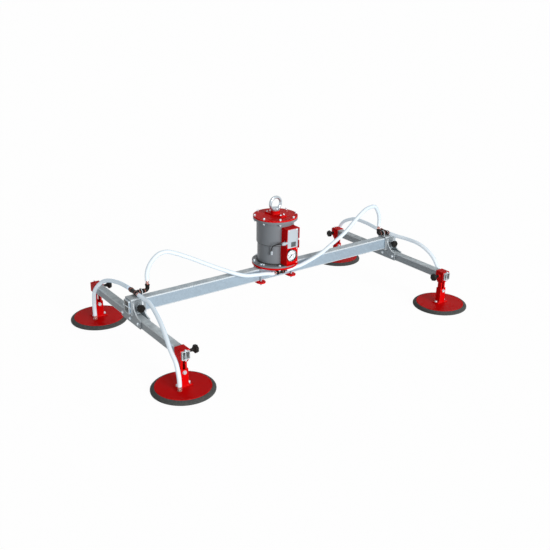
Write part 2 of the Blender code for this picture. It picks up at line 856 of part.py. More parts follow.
def yoke_mesh():
    """The tube on its foot plate, with the bolt that runs in the hanger's slot."""
    w = hanger_width / 2 + yoke_clearance
    d = hanger_depth / 2 + yoke_clearance
    ow, od = w + yoke_wall, d + yoke_wall
    top = foot_top + yoke_height
    tube = box((-ow, ow), (-od, od), (foot_top - 3 * mm, top), 2 * mm, 2)
    inside = box((-w, w), (-d, d), (foot_top, top + 10 * mm))
    hollow = helper_object(combined(tube, cuts=[inside]))
    z = foot_top + yoke_bolt_height
    end = od + yoke_bolt_head
    joins = [
        box((-foot_half_width, foot_half_width), (-foot_half_depth, foot_half_depth), (foot_bottom, foot_top)),
        cylinder(yoke_bolt_radius, (0, -end + 2 * mm, z), (0, end + 3 * mm, z), pipe_sides),
        hexagon(yoke_bolt_across, (0, 1 * mm - od, z), (0, -end, z)),
        hexagon(yoke_bolt_across, (0, od - 1 * mm, z), (0, end, z)),
    ]
    head_top_z = foot_top + foot_bolt_head
    for x in (-foot_bolt_x, foot_bolt_x):
        joins.append(hexagon(foot_bolt_across, (x, 0, foot_top - 2 * mm), (x, 0, head_top_z)))
        joins.append(cylinder(4 * mm, (x, 0, head_top_z - 2 * mm), (x, 0, head_top_z + 2 * mm)))
    return combined(hollow, joins)


def disc_mesh():
    """The pad's plate with its hose spigot, bored through."""
    profile = [
        (0, disc_top),
        (disc_radius - disc_edge, disc_top),
        (disc_radius, disc_top - disc_edge),
        (disc_radius, disc_underside),
        (0, disc_underside),
    ]
    x, y = -spigot_x, -spigot_y
    base_top_z = disc_top + spigot_base
    joins = [
        hexagon(2 * barb_ring_radius + 2 * mm, (x, y, disc_top - 2 * mm), (x, y, base_top_z)),
        *barb((x, y, base_top_z), (0, 0, 1)),
    ]
    bore = cylinder(spigot_bore, (x, y, disc_underside - 5 * mm), (x, y, spigot_top + 5 * mm))
    return combined(turned(profile, large_sides), joins, [bore])


def seal_mesh():
    """The rubber ring around the disc's rim, with a flared lip on the floor."""
    inside = disc_radius + gap
    under = disc_underside - gap
    bead = disc_underside + seal_bead
    profile = [
        (inside, bead),
        (seal_radius, 10 * mm),
        (seal_radius, 4 * mm),
        (seal_radius - 4 * mm, 0),
        (seal_radius - 30 * mm, 0),
        (seal_inner_radius, 8 * mm),
        (seal_inner_radius, under),
        (inside, under),
    ]
    return baked(turned(profile, large_sides))


def pad_meshes():
    """The five pieces of a pad set about the pad's own middle, each with the place of its origin."""
    clamp = Vector((bracket_half + pad_boss, 0, arm_height))
    knob = knob_mesh(pad_knob_stem, clamp.x - arm_size / 2 - gap)
    knob.transform(Matrix.Translation(clamp) @ Matrix.Rotation(math.radians(90), 4, "Y"))
    lift = Vector((0, 0, foot_bottom))
    slide = Vector((0, 0, arm_height))
    made = {
        "pad_bracket": (bracket_mesh(), red, slide),
        "pad_knob": (knob, black, clamp),
        "pad_yoke": (yoke_mesh(), red, lift),
        "pad_disc": (disc_mesh(), red, lift),
        "pad_seal": (seal_mesh(), rubber, lift),
    }
    return {name: (finished(mesh, name, look, at), at) for name, (mesh, look, at) in made.items()}


def pad_sets(saddles):
    """The sets on the right are turned half round, so that every clamp faces the middle."""
    meshes = pad_meshes()
    for side in (-1, 1):
        turn = math.pi if side > 0 else 0.0
        for end, way in (("front", -1), ("back", 1)):
            corner = f"{end}_{side_name(side)}"
            middle = Vector((side * arm_x, way * pad_y, 0))
            slide = place_object(f"bracket_slide_{corner}", None, middle, saddles[side])
            lift = place_object(f"pad_lift_{corner}", None, middle, slide)
            for name, (mesh, at) in meshes.items():
                place = middle + Matrix.Rotation(turn, 3, "Z") @ at
                parent = slide if name in ("pad_bracket", "pad_knob") else lift
                place_object(f"{name}_{corner}", mesh, place, parent, turn)


def ring_of_bolts(low, high, tail):
    """Bolts around the cylinder between two levels, with a head above and a nut below."""
    shapes = []
    for step in range(flange_bolts):
        angle = 2 * math.pi * (step + 0.5) / flange_bolts
        x, y = flange_bolt_circle * math.cos(angle), flange_bolt_circle * math.sin(angle)
        shapes.append(cylinder(flange_bolt_radius, (x, y, low - tail), (x, y, high + 1 * mm), shank_sides))
        shapes.append(hexagon(flange_bolt_across, (x, y, high), (x, y, high + flange_bolt_head)))
        shapes.append(hexagon(flange_bolt_across, (x, y, low), (x, y, low - flange_bolt_head)))
    return shapes


def ring_of_holes(low, high):
    holes = []
    for step in range(flange_bolts):
        angle = 2 * math.pi * (step + 0.5) / flange_bolts
        x, y = flange_bolt_circle * math.cos(angle), flange_bolt_circle * math.sin(angle)
        radius = flange_bolt_radius + hole_clearance
        holes.append(cylinder(radius, (x, y, low - 5 * mm), (x, y, high + 5 * mm)))
    return holes


def rod_holes(x, low, high):
    radius = clamp_rod_radius + hole_clearance
    return [cylinder(radius, (x, y, low), (x, y, high)) for y in (-clamp_rod_y, clamp_rod_y)]


def base_plate():
    """The plate under the cylinder, on two packing bars, with the bolts that hold the lower flange."""
    disc = cylinder(base_radius, (0, 0, base_bottom), (0, 0, base_top), large_sides)
    joins = []
    for x in (-packing_x, packing_x):
        span = (x - packing_half_width, x + packing_half_width)
        joins.append(box(span, (-packing_half_length, packing_half_length), (beam_top + gap, base_bottom + 2 * mm)))
    joins += ring_of_bolts(base_bottom + 1 * mm, low_flange_top + gap, flange_bolt_head + 4 * mm)
    holes = rod_holes(clamp_left_x, base_bottom - 5 * mm, base_top + 5 * mm)
    holes += rod_holes(clamp_right_x, base_bottom - 5 * mm, base_bottom + clamp_rod_thread + gap)
    mesh = combined(disc, joins, holes)
    piece("base_plate", mesh, red)


def cylinder_tube():
    profile = [
        (liner_radius - liner_wall, liner_top),
        (liner_radius, liner_top),
        (liner_radius, low_flange_top),
        (base_radius, low_flange_top),
        (base_radius, low_flange_bottom),
        (liner_radius - liner_wall, low_flange_bottom),
    ]
    cuts = ring_of_holes(low_flange_bottom, low_flange_top)
    cuts += rod_holes(clamp_left_x, low_flange_bottom - 5 * mm, low_flange_top + 5 * mm)
    piece("cylinder_tube", combined(turned(profile, large_sides), cuts=cuts), grey)


def upper_sleeve():
    inner = liner_radius + gap
    profile = [
        (inner, liner_top),
        (cover_radius, liner_top),
        (cover_radius, top_flange_bottom),
        (jacket_radius, top_flange_bottom),
        (jacket_radius, jacket_bottom),
        (inner, jacket_bottom),
    ]
    holes = ring_of_holes(top_flange_bottom, liner_top)
    piece("upper_sleeve", combined(turned(profile, large_sides), cuts=holes), grey)


def top_cover():
    disc = cylinder(cover_radius, (0, 0, cover_bottom), (0, 0, cover_top), large_sides)
    bolts = ring_of_bolts(top_flange_bottom - gap, cover_top - 1 * mm, flange_bolt_head + 4 * mm)
    hole = cylinder(rod_radius + bore_clearance, (0, 0, cover_bottom - 5 * mm), (0, 0, cover_top + 5 * mm), round_sides)
    piece("top_cover", combined(disc, bolts, [hole]), red)


def guide_bush():
    """The collar that guides the rod, on two opposite lugs screwed to the cover."""
    collar = cylinder(bush_radius, (0, 0, bush_bottom), (0, 0, bush_top), round_sides)
    turn = Matrix.Rotation(lug_turn, 4, "Z")
    joins = []
    spans = ((-lug_width / 2, lug_width / 2), (-lug_reach, lug_reach))
    bar = box(*spans, (bush_bottom, bush_bottom + lug_thickness), 8 * mm, 2)
    bar.data.transform(turn)
    joins.append(bar)
    for x in (-lug_screw_spread, lug_screw_spread):
        for y in (lug_screw_inset - lug_reach, lug_reach - lug_screw_inset):
            low = turn @ Vector((x, y, bush_bottom + lug_thickness - 1 * mm))
            joins.append(hexagon(lug_screw_across, low, low + Vector((0, 0, lug_screw_head + 1 * mm))))
    bore = cylinder(rod_radius + bore_clearance, (0, 0, bush_bottom - 5 * mm), (0, 0, bush_top + 5 * mm), round_sides)
    piece("guide_bush", combined(collar, joins, [bore]), red)


def lift_rod():
    """The piston with its seal, the rod, the head on its top and the eye."""
    parent = place_object("lift", None, (0, 0, piston_bottom))
    origin = world_place(parent)
    bottom = piston_bottom - rod_collar
    socket_top = head_bottom + rod_socket
    rod = cylinder(rod_radius, (0, 0, bottom - 3 * mm), (0, 0, socket_top - gap), round_sides)
    collars = [
        cylinder(rod_collar_radius, (0, 0, piston_top + gap), (0, 0, piston_top + rod_collar), round_sides),
        cylinder(rod_collar_radius, (0, 0, bottom), (0, 0, piston_bottom - gap), 6),
    ]
    piece("piston_rod", combined(rod, collars), steel, origin, parent)
    groove = piston_radius - groove_depth
    profile = [
        (rod_radius + bore_clearance, piston_top),
        (piston_radius, piston_top),
        (piston_radius, groove_bottom + groove_height),
        (groove, groove_bottom + groove_height),
        (groove, groove_bottom),
        (piston_radius, groove_bottom),
        (piston_radius, piston_bottom),
        (rod_radius + bore_clearance, piston_bottom),
    ]
    piece("piston", baked(turned(profile, large_sides)), alloy, origin, parent)
    low, high = groove_bottom + gap, groove_bottom + groove_height - gap
    outer = liner_radius - liner_wall - gap
    ring = [(groove + gap, high), (outer, high), (outer, low), (groove + gap, low)]
    piece("piston_seal", baked(turned(ring, large_sides)), rubber, origin, parent)
    head = cylinder(head_radius, (0, 0, head_bottom), (0, 0, head_top), round_sides)
    hole_z = (head_bottom + head_top) / 2
    edge = Vector((0.5, -0.87, 0)) * head_radius
    middle = Vector((0, 0, hole_z))
    inner = edge * (1 - head_hole_depth / head_radius)
    cuts = [
        cylinder(rod_radius + gap, (0, 0, head_bottom - 5 * mm), (0, 0, socket_top), round_sides),
        cylinder(eye_stud_radius + gap, (0, 0, head_top - eye_stud - gap), (0, 0, head_top + 5 * mm), pipe_sides),
        cylinder(head_hole_radius, middle + inner, middle + edge * 1.2),
    ]
    piece("rod_head", combined(head, cuts=cuts), red, origin, parent)
    piece("lifting_eye", eye_mesh(), steel, origin, parent)


def eye_mesh():
    ring = bpy.data.curves.new("ring", "CURVE")
    ring.dimensions = "3D"
    ring.bevel_depth = eye_bar
    ring.bevel_resolution = 3
    spline = ring.splines.new("POLY")
    spline.points.add(round_sides - 1)
    for step, point in enumerate(spline.points):
        angle = 2 * math.pi * step / round_sides
        x, z = eye_ring_radius * math.cos(angle), eye_ring_radius * math.sin(angle)
        point.co = (x, 0, eye_middle + z, 1)
    spline.use_cyclic_u = True
    loop = helper(merged(baked(helper_object(ring))))
    nut = hexagon(eye_across, (0, 0, eye_bottom), (0, 0, eye_bottom + eye_nut))
    stud = cylinder(eye_stud_radius, (0, 0, head_top - eye_stud), (0, 0, eye_bottom + 3 * mm), pipe_sides)
    reach = eye_ring_radius
    below = box((-reach, reach), (-reach, reach), (eye_bottom - 30 * mm, eye_bottom))
    loop = helper_object(combined(loop, cuts=[below]))
    return combined(nut, [loop, stud])


def clamp_rod(name, x, y, top, nut_above):
    low = clamp_bar_bottom - gap
    rod = cylinder(clamp_rod_radius, (x, y, low - clamp_nut - clamp_rod_end), (x, y, top))
    nuts = [hexagon(clamp_nut_across, (x, y, low - clamp_nut), (x, y, low))]
    if nut_above:
        nuts.append(hexagon(clamp_nut_across, (x, y, low_flange_top + gap), (x, y, top - 2 * mm)))
    piece(name, combined(rod, nuts), steel, (x, y, beam_middle))


def clamp_bar(name, x):
    outline = []
    for way in (-1, 1):
        for step in range(9):
            angle = math.pi * step / 8
            across = way * clamp_bar_half_width * math.cos(angle)
            outline.append((across, way * (clamp_rod_y + clamp_bar_half_width * math.sin(angle))))
    middle = (clamp_bar_bottom + clamp_bar_top) / 2
    bar = plate(outline, clamp_bar_thickness, Matrix.Translation((x, 0, middle)))
    holes = rod_holes(x, clamp_bar_bottom - 5 * mm, clamp_bar_top + 5 * mm)
    piece(name, combined(bar, cuts=holes), red, (x, 0, middle))


def beam_clamp():
    """The rods on the left pass through both flanges. Those on the right are screwed into the base plate."""
    top = low_flange_top + gap + clamp_nut + 2 * mm
    for end, way in (("front", -1), ("back", 1)):
        clamp_rod(f"clamp_rod_{end}_left", clamp_left_x, way * clamp_rod_y, top, True)
        clamp_rod(f"clamp_rod_{end}_right", clamp_right_x, way * clamp_rod_y, base_bottom + clamp_rod_thread, False)
    clamp_bar("clamp_bar_left", clamp_left_x)
    clamp_bar("clamp_bar_right", clamp_right_x)


def centre_tee():
    middle = Vector((middle_tee_x, middle_tee_y, middle_tee_z))
    left = middle - Vector((middle_tee_half, 0, 0))
    right = middle + Vector((middle_tee_half, 0, 0))
    top = Vector((middle_tee_x, middle_tee_y, base_bottom - gap))
    joins = [
        cylinder(port_radius, middle, top, pipe_sides),
        hexagon(port_hex, top - Vector((0, 0, port_hex_height)), top),
        *barb(left, (-1, 0, 0)),
        *barb(right, (1, 0, 0)),
    ]
    run = cylinder(middle_tee_radius, left, right, pipe_sides)
    piece("centre_tee", combined(run, joins), black)


def control_housing():
    """A folded sheet box, open to the cylinder, with a hood around its instruments."""
    left, right = housing_left, housing_right
    low, high = housing_bottom, housing_top
    sheet = housing_sheet
    body = box((left, right), (hood_y, housing_back), (low, high))
    inner_x = (left + sheet, right - sheet)
    inner_z = (low + sheet, high - sheet)
    below, above = low - 10 * mm, high + 10 * mm
    cuts = [
        box(inner_x, (hood_y - 10 * mm, panel_y), inner_z),
        box(inner_x, (panel_y + sheet, housing_back + 10 * mm), inner_z),
        cylinder(liner_radius + gap, (0, 0, below), (0, 0, above), large_sides),
        cylinder(jacket_radius + gap, (0, 0, jacket_bottom - gap), (0, 0, above), large_sides),
        box((right - 2 * sheet, right + sheet), (hood_y - 10 * mm, panel_y), (below, hood_bottom)),
        box((left - sheet, left + 2 * sheet), (hood_y - 10 * mm, left_notch_back), left_notch),
        box((right - 2 * sheet, right + sheet), (hood_y - 10 * mm, right_notch_back), right_notch),
        box(alarm_opening_x(), (panel_y - sheet, panel_y + 2 * sheet), alarm_opening_z()),
        box((left + sheet, 0), (panel_y - sheet, panel_y + 2 * sheet), gland_slot()),
    ]
    piece("control_housing", combined(body, cuts=cuts), red)


def alarm_opening_x():
    return (alarm_left + alarm_flange - 1 * mm, alarm_right - alarm_flange + 1 * mm)


def alarm_opening_z():
    return (alarm_bottom + alarm_flange - 1 * mm, alarm_top - alarm_flange + 1 * mm)


def gland_slot():
    half = gland_stem_radius + 2 * mm
    return (gland_z - half, gland_z + half)


def alarm_box():
    """The warning unit in the panel, with its cable gland, and the button in its front."""
    behind = panel_y - gap
    inset = alarm_flange
    front = box(
        (alarm_left, alarm_right),
        (alarm_front - alarm_border_height, behind),
        (alarm_bottom, alarm_top),
    )
    body = box(
        (alarm_left + inset, alarm_right - inset),
        (behind - 1 * mm, alarm_back),
        (alarm_bottom + inset, alarm_top - inset),
    )
    b = alarm_border
    hollow = box(
        (alarm_left + b, alarm_right - b),
        (alarm_front - 10 * mm, alarm_front),
        (alarm_bottom + b, alarm_top - b),
    )
    gland_y_z = (gland_y, gland_z)
    joins = [
        body,
        cylinder(gland_stem_radius, (0, *gland_y_z), (gland_start - 2 * mm, *gland_y_z), pipe_sides),
        cylinder(gland_radius, (gland_start, *gland_y_z), (gland_start - gland_body, *gland_y_z), pipe_sides),
        cylinder(
            gland_radius,
            (gland_start - gland_body + 1 * mm, *gland_y_z),
            (gland_end, *gland_y_z),
            pipe_sides,
            cable_radius + 2 * mm,
        ),
    ]
    c = button_clearance
    pocket = box(
        (button_x - button_width / 2 - c, button_x + button_width / 2 + c),
        (alarm_front - 10 * mm, alarm_front + button_depth + button_travel + 1 * mm),
        (button_z - button_height / 2 - c, button_z + button_height / 2 + c),
    )
    piece("alarm_box", combined(front, joins, [hollow, pocket]), pale)
    face = alarm_front - button_proud
    button = box(
        (button_x - button_width / 2, button_x + button_width / 2),
        (face, face + button_depth),
        (button_z - button_height / 2, button_z + button_height / 2),
        2 * mm,
        1,
    )
    piece("alarm_button", baked(button), dark_grey, (button_x, face, button_z))


def gauge():
    """The vacuum gauge: a case with its dial, a needle on a spindle, and a lens in the rim."""
    to_front = Matrix.Translation((gauge_x, panel_y - gap, gauge_z)) @ Matrix.Rotation(math.radians(90), 4, "X")
    bore = gauge_radius - gauge_rim
    seat = bore + lens_seat
    lens_back = gauge_depth - lens_thickness - 1 * mm
    profile = [
        (0, dial_depth),
        (bore, dial_depth),
        (bore, lens_back),
        (seat, lens_back),
        (seat, gauge_depth),
        (gauge_radius - 1 * mm, gauge_depth),
        (gauge_radius, gauge_depth - 1 * mm),
        (gauge_radius, 0),
        (0, 0),
    ]
    hole = cylinder(spindle_radius + hole_clearance, (0, 0, dial_depth - 3 * mm), (0, 0, dial_depth + 5 * mm))
    case = combined(turned(profile, large_sides), cuts=[hole])
    case.transform(to_front)
    piece("gauge_case", case, black)
    low = dial_depth + needle_above_dial
    half = needle_width / 2
    pointer = box((-half, half), (-needle_tail, needle_length), (low, low + needle_thickness))
    joins = [
        cylinder(spindle_radius, (0, 0, dial_depth - 2 * mm), (0, 0, low + needle_thickness)),
        cylinder(3.5 * mm, (0, 0, low), (0, 0, low + 1.5 * needle_thickness), pipe_sides),
    ]
    needle = combined(pointer, joins)
    needle.transform(to_front @ Matrix.Rotation(needle_rest, 4, "Z"))
    axis = to_front @ Vector((0, 0, low))
    piece("gauge_needle", needle, black, axis)
    lens = cylinder(seat - gap, (0, 0, lens_back + gap), (0, 0, lens_back + gap + lens_thickness), large_sides)
    mesh = baked(lens)
    mesh.transform(to_front)
    piece("gauge_lens", mesh, clear, to_front @ Vector((0, 0, lens_back)))


def sensor():
    """The plug on the cylinder's wall and the cable that joins it to the warning unit."""
    out = Vector((math.cos(sensor_angle), math.sin(sensor_angle), 0))
    axis = out * (liner_radius + sensor_out)
    middle = Vector((0, 0, (sensor_bottom + sensor_top) / 2))
    low = axis + Vector((0, 0, sensor_bottom))
    high = axis + Vector((0, 0, sensor_top))
    stub = cylinder(sensor_stub_radius, middle + out * (liner_radius + gap), middle + axis, pipe_sides)
    plug = cylinder(sensor_radius, low, high, pipe_sides)
    piece("sensor_plug", combined(plug, [stub]), pale, low)
    start = Vector((gland_end - gap, gland_y, gland_z))
    end = high + Vector((0, 0, gap))
    route = [start / mm + Vector(p) for p in cable_leaves]
    route.append((start + end) / 2 / mm + Vector(cable_middle))
    route += [end / mm + Vector(p) for p in cable_arrives]
    hose("sensor_cable", (start, (-1, 0, 0)), route, (end, (0, 0, 1)), cable_radius, dark_grey, cable_spacing)


def hoses():
    for side in (-1, 1):
        name = side_name(side)
        x = middle_tee_x + side * (middle_tee_half + barb_length + gap)
        start = ((x, middle_tee_y, middle_tee_z), (side, 0, 0))
        x = side * (arm_x - elbow_inboard)
        end = ((x, fitting_y, fitting_z + elbow_rise + barb_length + gap), (0, 0, 1))
        stretch = arm_x / laid_arm_x
        route = [(x * stretch, y, z) for x, y, z in main_hose_routes[name]]
        hose(f"main_hose_{name}", start, route, end, hose_radius, hose_plastic, hose_spacing)
        for corner, way, reach in (("front", -1, tee_front), ("back", 1, tee_back)):
            corner = f"{corner}_{name}"
            y = fitting_y + way * (reach + barb_length + gap)
            start = ((side * (arm_x - tee_inboard), y, fitting_z), (0, way, 0))
            # Half a turn carries the spigot with the sets on the right.
            x = side * (arm_x + spigot_x)
            y = way * pad_y + side * spigot_y
            end = ((x, y, spigot_top + gap), (0, 0, 1))
            shift = side * (arm_x - laid_arm_x) / mm
            route = [(x + shift, y, z) for x, y, z in branch_hose_routes[corner]]
            hose(f"branch_hose_{corner}", start, route, end, hose_radius, hose_plastic, hose_spacing)


def sides():
    """A saddle with all that it carries, on each end of the beam."""
    saddles = {}
    for side in (-1, 1):
        parent = place_object(f"saddle_slide_{side_name(side)}", None, (side * arm_x, 0, beam_middle))
        saddles[side] = parent
        saddle(side, parent)
        cross_arm(side, parent)
        end_fitting(side, parent)
        saddle_knob(side, parent)
    pad_sets(saddles)


def main():
    clear_scene()
    main_beam()
    sides()
    base_plate()
    cylinder_tube()
    upper_sleeve()
    top_cover()
    guide_bush()
    lift_rod()
    beam_clamp()
    centre_tee()
    control_housing()
    alarm_box()
    gauge()
    sensor()
    hoses()


main()
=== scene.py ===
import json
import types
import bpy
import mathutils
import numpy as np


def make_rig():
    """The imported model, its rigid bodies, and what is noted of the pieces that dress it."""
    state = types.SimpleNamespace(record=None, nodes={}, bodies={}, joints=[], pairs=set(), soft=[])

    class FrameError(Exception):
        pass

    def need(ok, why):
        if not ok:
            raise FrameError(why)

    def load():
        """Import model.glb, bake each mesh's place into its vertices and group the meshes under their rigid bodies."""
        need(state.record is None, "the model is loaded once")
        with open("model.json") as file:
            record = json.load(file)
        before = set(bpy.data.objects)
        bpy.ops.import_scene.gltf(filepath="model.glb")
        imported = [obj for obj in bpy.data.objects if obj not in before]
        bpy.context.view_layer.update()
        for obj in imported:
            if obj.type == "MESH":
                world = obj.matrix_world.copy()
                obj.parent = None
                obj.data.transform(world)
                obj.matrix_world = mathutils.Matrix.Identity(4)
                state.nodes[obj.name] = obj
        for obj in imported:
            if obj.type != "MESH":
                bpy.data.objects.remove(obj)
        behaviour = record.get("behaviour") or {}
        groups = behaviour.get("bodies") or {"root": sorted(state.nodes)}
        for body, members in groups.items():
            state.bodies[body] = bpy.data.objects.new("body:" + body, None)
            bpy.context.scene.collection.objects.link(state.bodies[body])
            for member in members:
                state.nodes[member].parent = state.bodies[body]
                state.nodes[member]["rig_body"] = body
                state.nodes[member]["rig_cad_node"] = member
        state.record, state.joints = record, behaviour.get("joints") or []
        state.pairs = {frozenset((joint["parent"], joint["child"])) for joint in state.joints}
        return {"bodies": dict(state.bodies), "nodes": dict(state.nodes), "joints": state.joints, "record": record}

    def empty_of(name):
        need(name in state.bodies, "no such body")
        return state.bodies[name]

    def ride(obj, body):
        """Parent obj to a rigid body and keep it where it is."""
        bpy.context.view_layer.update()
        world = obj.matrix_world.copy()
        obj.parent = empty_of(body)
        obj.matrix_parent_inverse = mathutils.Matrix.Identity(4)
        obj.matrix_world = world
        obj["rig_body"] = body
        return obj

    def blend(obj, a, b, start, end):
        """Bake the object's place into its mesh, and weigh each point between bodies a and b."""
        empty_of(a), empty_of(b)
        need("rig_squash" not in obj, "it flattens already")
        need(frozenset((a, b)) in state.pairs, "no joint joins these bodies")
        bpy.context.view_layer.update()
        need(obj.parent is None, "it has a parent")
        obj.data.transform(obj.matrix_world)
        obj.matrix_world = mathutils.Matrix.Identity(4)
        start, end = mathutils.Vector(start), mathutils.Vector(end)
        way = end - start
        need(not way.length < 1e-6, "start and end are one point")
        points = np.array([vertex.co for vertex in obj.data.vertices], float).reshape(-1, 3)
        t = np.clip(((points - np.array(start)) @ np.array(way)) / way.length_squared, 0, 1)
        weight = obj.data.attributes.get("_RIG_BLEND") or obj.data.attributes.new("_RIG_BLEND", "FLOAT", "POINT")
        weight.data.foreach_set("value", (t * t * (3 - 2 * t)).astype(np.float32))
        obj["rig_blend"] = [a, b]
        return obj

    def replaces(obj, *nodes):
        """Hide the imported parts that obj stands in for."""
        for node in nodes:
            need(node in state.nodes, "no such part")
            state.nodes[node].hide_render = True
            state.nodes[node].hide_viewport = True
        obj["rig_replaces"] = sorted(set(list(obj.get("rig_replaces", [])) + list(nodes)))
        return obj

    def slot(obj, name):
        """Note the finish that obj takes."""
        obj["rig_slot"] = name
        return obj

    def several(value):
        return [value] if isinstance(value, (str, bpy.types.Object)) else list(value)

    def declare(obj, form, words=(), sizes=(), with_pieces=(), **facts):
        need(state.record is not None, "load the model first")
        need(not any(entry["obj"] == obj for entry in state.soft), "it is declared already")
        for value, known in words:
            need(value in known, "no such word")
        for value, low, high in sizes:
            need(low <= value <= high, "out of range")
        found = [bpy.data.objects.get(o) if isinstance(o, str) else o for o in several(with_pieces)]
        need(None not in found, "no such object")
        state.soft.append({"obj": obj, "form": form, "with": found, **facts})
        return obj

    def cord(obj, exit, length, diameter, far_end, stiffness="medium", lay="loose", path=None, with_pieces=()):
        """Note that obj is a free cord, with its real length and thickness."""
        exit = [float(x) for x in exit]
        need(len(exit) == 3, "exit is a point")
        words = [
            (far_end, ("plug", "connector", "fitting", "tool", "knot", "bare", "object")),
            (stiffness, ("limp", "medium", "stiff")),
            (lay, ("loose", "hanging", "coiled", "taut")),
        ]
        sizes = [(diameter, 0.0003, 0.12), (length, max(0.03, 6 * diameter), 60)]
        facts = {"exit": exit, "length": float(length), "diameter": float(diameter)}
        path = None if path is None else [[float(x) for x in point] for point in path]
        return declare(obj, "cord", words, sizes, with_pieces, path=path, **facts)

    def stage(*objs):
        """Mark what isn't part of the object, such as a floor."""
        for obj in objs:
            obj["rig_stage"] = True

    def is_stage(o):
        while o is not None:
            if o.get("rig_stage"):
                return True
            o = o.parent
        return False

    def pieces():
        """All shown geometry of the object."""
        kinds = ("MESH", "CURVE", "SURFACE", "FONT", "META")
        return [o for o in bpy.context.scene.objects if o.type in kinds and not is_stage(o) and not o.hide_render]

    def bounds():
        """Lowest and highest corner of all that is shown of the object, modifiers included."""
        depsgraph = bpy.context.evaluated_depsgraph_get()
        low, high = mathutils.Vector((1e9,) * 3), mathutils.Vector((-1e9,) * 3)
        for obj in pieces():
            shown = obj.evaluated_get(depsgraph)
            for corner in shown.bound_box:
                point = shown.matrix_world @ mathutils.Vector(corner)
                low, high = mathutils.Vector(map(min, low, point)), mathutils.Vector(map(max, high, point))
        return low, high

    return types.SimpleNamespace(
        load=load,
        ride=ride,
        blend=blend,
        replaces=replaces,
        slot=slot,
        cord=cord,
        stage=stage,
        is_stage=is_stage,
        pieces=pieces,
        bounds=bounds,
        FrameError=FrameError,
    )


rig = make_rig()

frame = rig.load()

import json
import math

import bmesh
import bpy
from mathutils import Matrix, Vector

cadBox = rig.bounds()


class named(dict):  # a piece's settings, read by name
    __getattr__ = dict.__getitem__


mm = 0.001
toMetres = Matrix.Scale(mm, 4)
sides = {"left": -1, "right": 1}
ends = {"front": -1, "back": 1}
corners = [(end, side) for side in sides for end in ends]
print("frame loaded:", len(frame["nodes"]), "solids")


def newObject(name, data):
    made = bpy.data.objects.new(name, data)
    bpy.context.scene.collection.objects.link(made)
    return made


# camera, at the photo's angle

camera = named(
    place=(-2.785, -3.8114, 2.1474),
    yaw=36.194,  # degrees, from +Y towards +X
    pitch=-21.782,
    roll=0.829,
    lens=50.95,
    sensor=36,
    far=300,
)


def addCamera(settings):
    yaw, pitch, roll = (math.radians(settings[k]) for k in ("yaw", "pitch", "roll"))
    aim = Matrix.Rotation(-yaw, 4, "Z") @ Matrix.Rotation(math.pi / 2 + pitch, 4, "X")
    data = bpy.data.cameras.new("camera")
    data.lens = settings.lens
    data.sensor_width = settings.sensor
    data.clip_end = settings.far
    made = newObject("camera", data)
    made.matrix_world = Matrix.Translation(settings.place) @ aim @ Matrix.Rotation(roll, 4, "Z")
    bpy.context.scene.camera = made


addCamera(camera)
print("camera placed")

# shapes

alongX = Matrix(((0, 0, 1, 0), (1, 0, 0, 0), (0, 1, 0, 0), (0, 0, 0, 1)))  # the shape's Z runs along X, its Y up
alongY = Matrix(((-1, 0, 0, 0), (0, 0, 1, 0), (0, 1, 0, 0), (0, 0, 0, 1)))  # the shape's Z runs along Y, its Y up


def move(x, y, z):
    return Matrix.Translation((x, y, z))


def aimed(start, way):
    return Matrix.Translation(start) @ Vector(way).to_track_quat("Z", "Y").to_matrix().to_4x4()


# How far it is from start to end, and the place whose Z runs that way.
def along(start, end):
    way = Vector(end) - Vector(start)
    return way.length, aimed(start, way)


# A point at a share of a whole turn about Z.
def around(share, radius, height=0.0):
    angle = 2 * math.pi * share
    return Vector((radius * math.cos(angle), radius * math.sin(angle), height))


def circle(radius, count, height=0.0):
    return [around(i / count, radius, height) for i in range(count)]


# A skin over rings of points, with its two ends filled or joined.
def loft(rings, closed=False):
    bm = bmesh.new()
    rows = [[bm.verts.new(p) for p in ring] for ring in rings]
    for low, high in zip(rows, rows[1:] + (rows[:1] if closed else [])):
        for i in range(len(low)):
            j = (i + 1) % len(low)
            bm.faces.new((low[i], low[j], high[j], high[i]))
    if not closed:
        bm.faces.new(rows[0][::-1])
        bm.faces.new(rows[-1])
    bmesh.ops.recalc_face_normals(bm, faces=bm.faces)
    return bm


# The profile with a point close to each end of its long runs.
def withSupports(profile, closed, margin=2):
    points = [Vector(p) for p in profile]
    result = []
    for a, b in zip(points, points[1:] + points[:1] if closed else points[1:]):
        result.append(a)
        length = (b - a).length
        if length > 4 * margin:
            result += [a.lerp(b, margin / length), b.lerp(a, margin / length)]
    return result if closed else result + [points[-1]]


# A profile of radius and height turned about Z.
def turned(profile, place=Matrix(), count=64, closed=False):
    bm = loft([circle(radius, count, height) for radius, height in withSupports(profile, closed)], closed)
    bm.transform(place)
    return bm


def disc(radius, low, high, edge=1, count=96, place=Matrix(), bore=0.0):
    e = edge
    profile = [(radius - e, low), (radius - 0.3 * e, low + 0.3 * e), (radius, low + e)]
    profile += [(radius, high - e), (radius - 0.3 * e, high - 0.3 * e), (radius - e, high)]
    if bore:
        profile += [(bore + 0.5 * e, high), (bore, high - 0.5 * e), (bore, low + 0.5 * e), (bore + 0.5 * e, low)]
    return turned(profile, place, count, closed=bool(bore))


def rod(radius, start, end, count=24, edge=0.5):
    length, place = along(start, end)
    profile = [(radius - edge, 0), (radius, edge), (radius, length - edge), (radius - edge, length)]
    return turned(profile, place, count)


def thread(radius, start, end, pitch=1.5, count=16):
    length, place = along(start, end)
    turns = max(1, round(length / pitch))
    step = length / turns
    profile = [(radius * 0.8, 0)]
    for i in range(turns):
        profile += [(radius, (i + 0.35) * step), (radius, (i + 0.5) * step), (radius * 0.86, (i + 0.95) * step)]
    profile.append((radius * 0.7, length))
    return turned(profile, place, count)


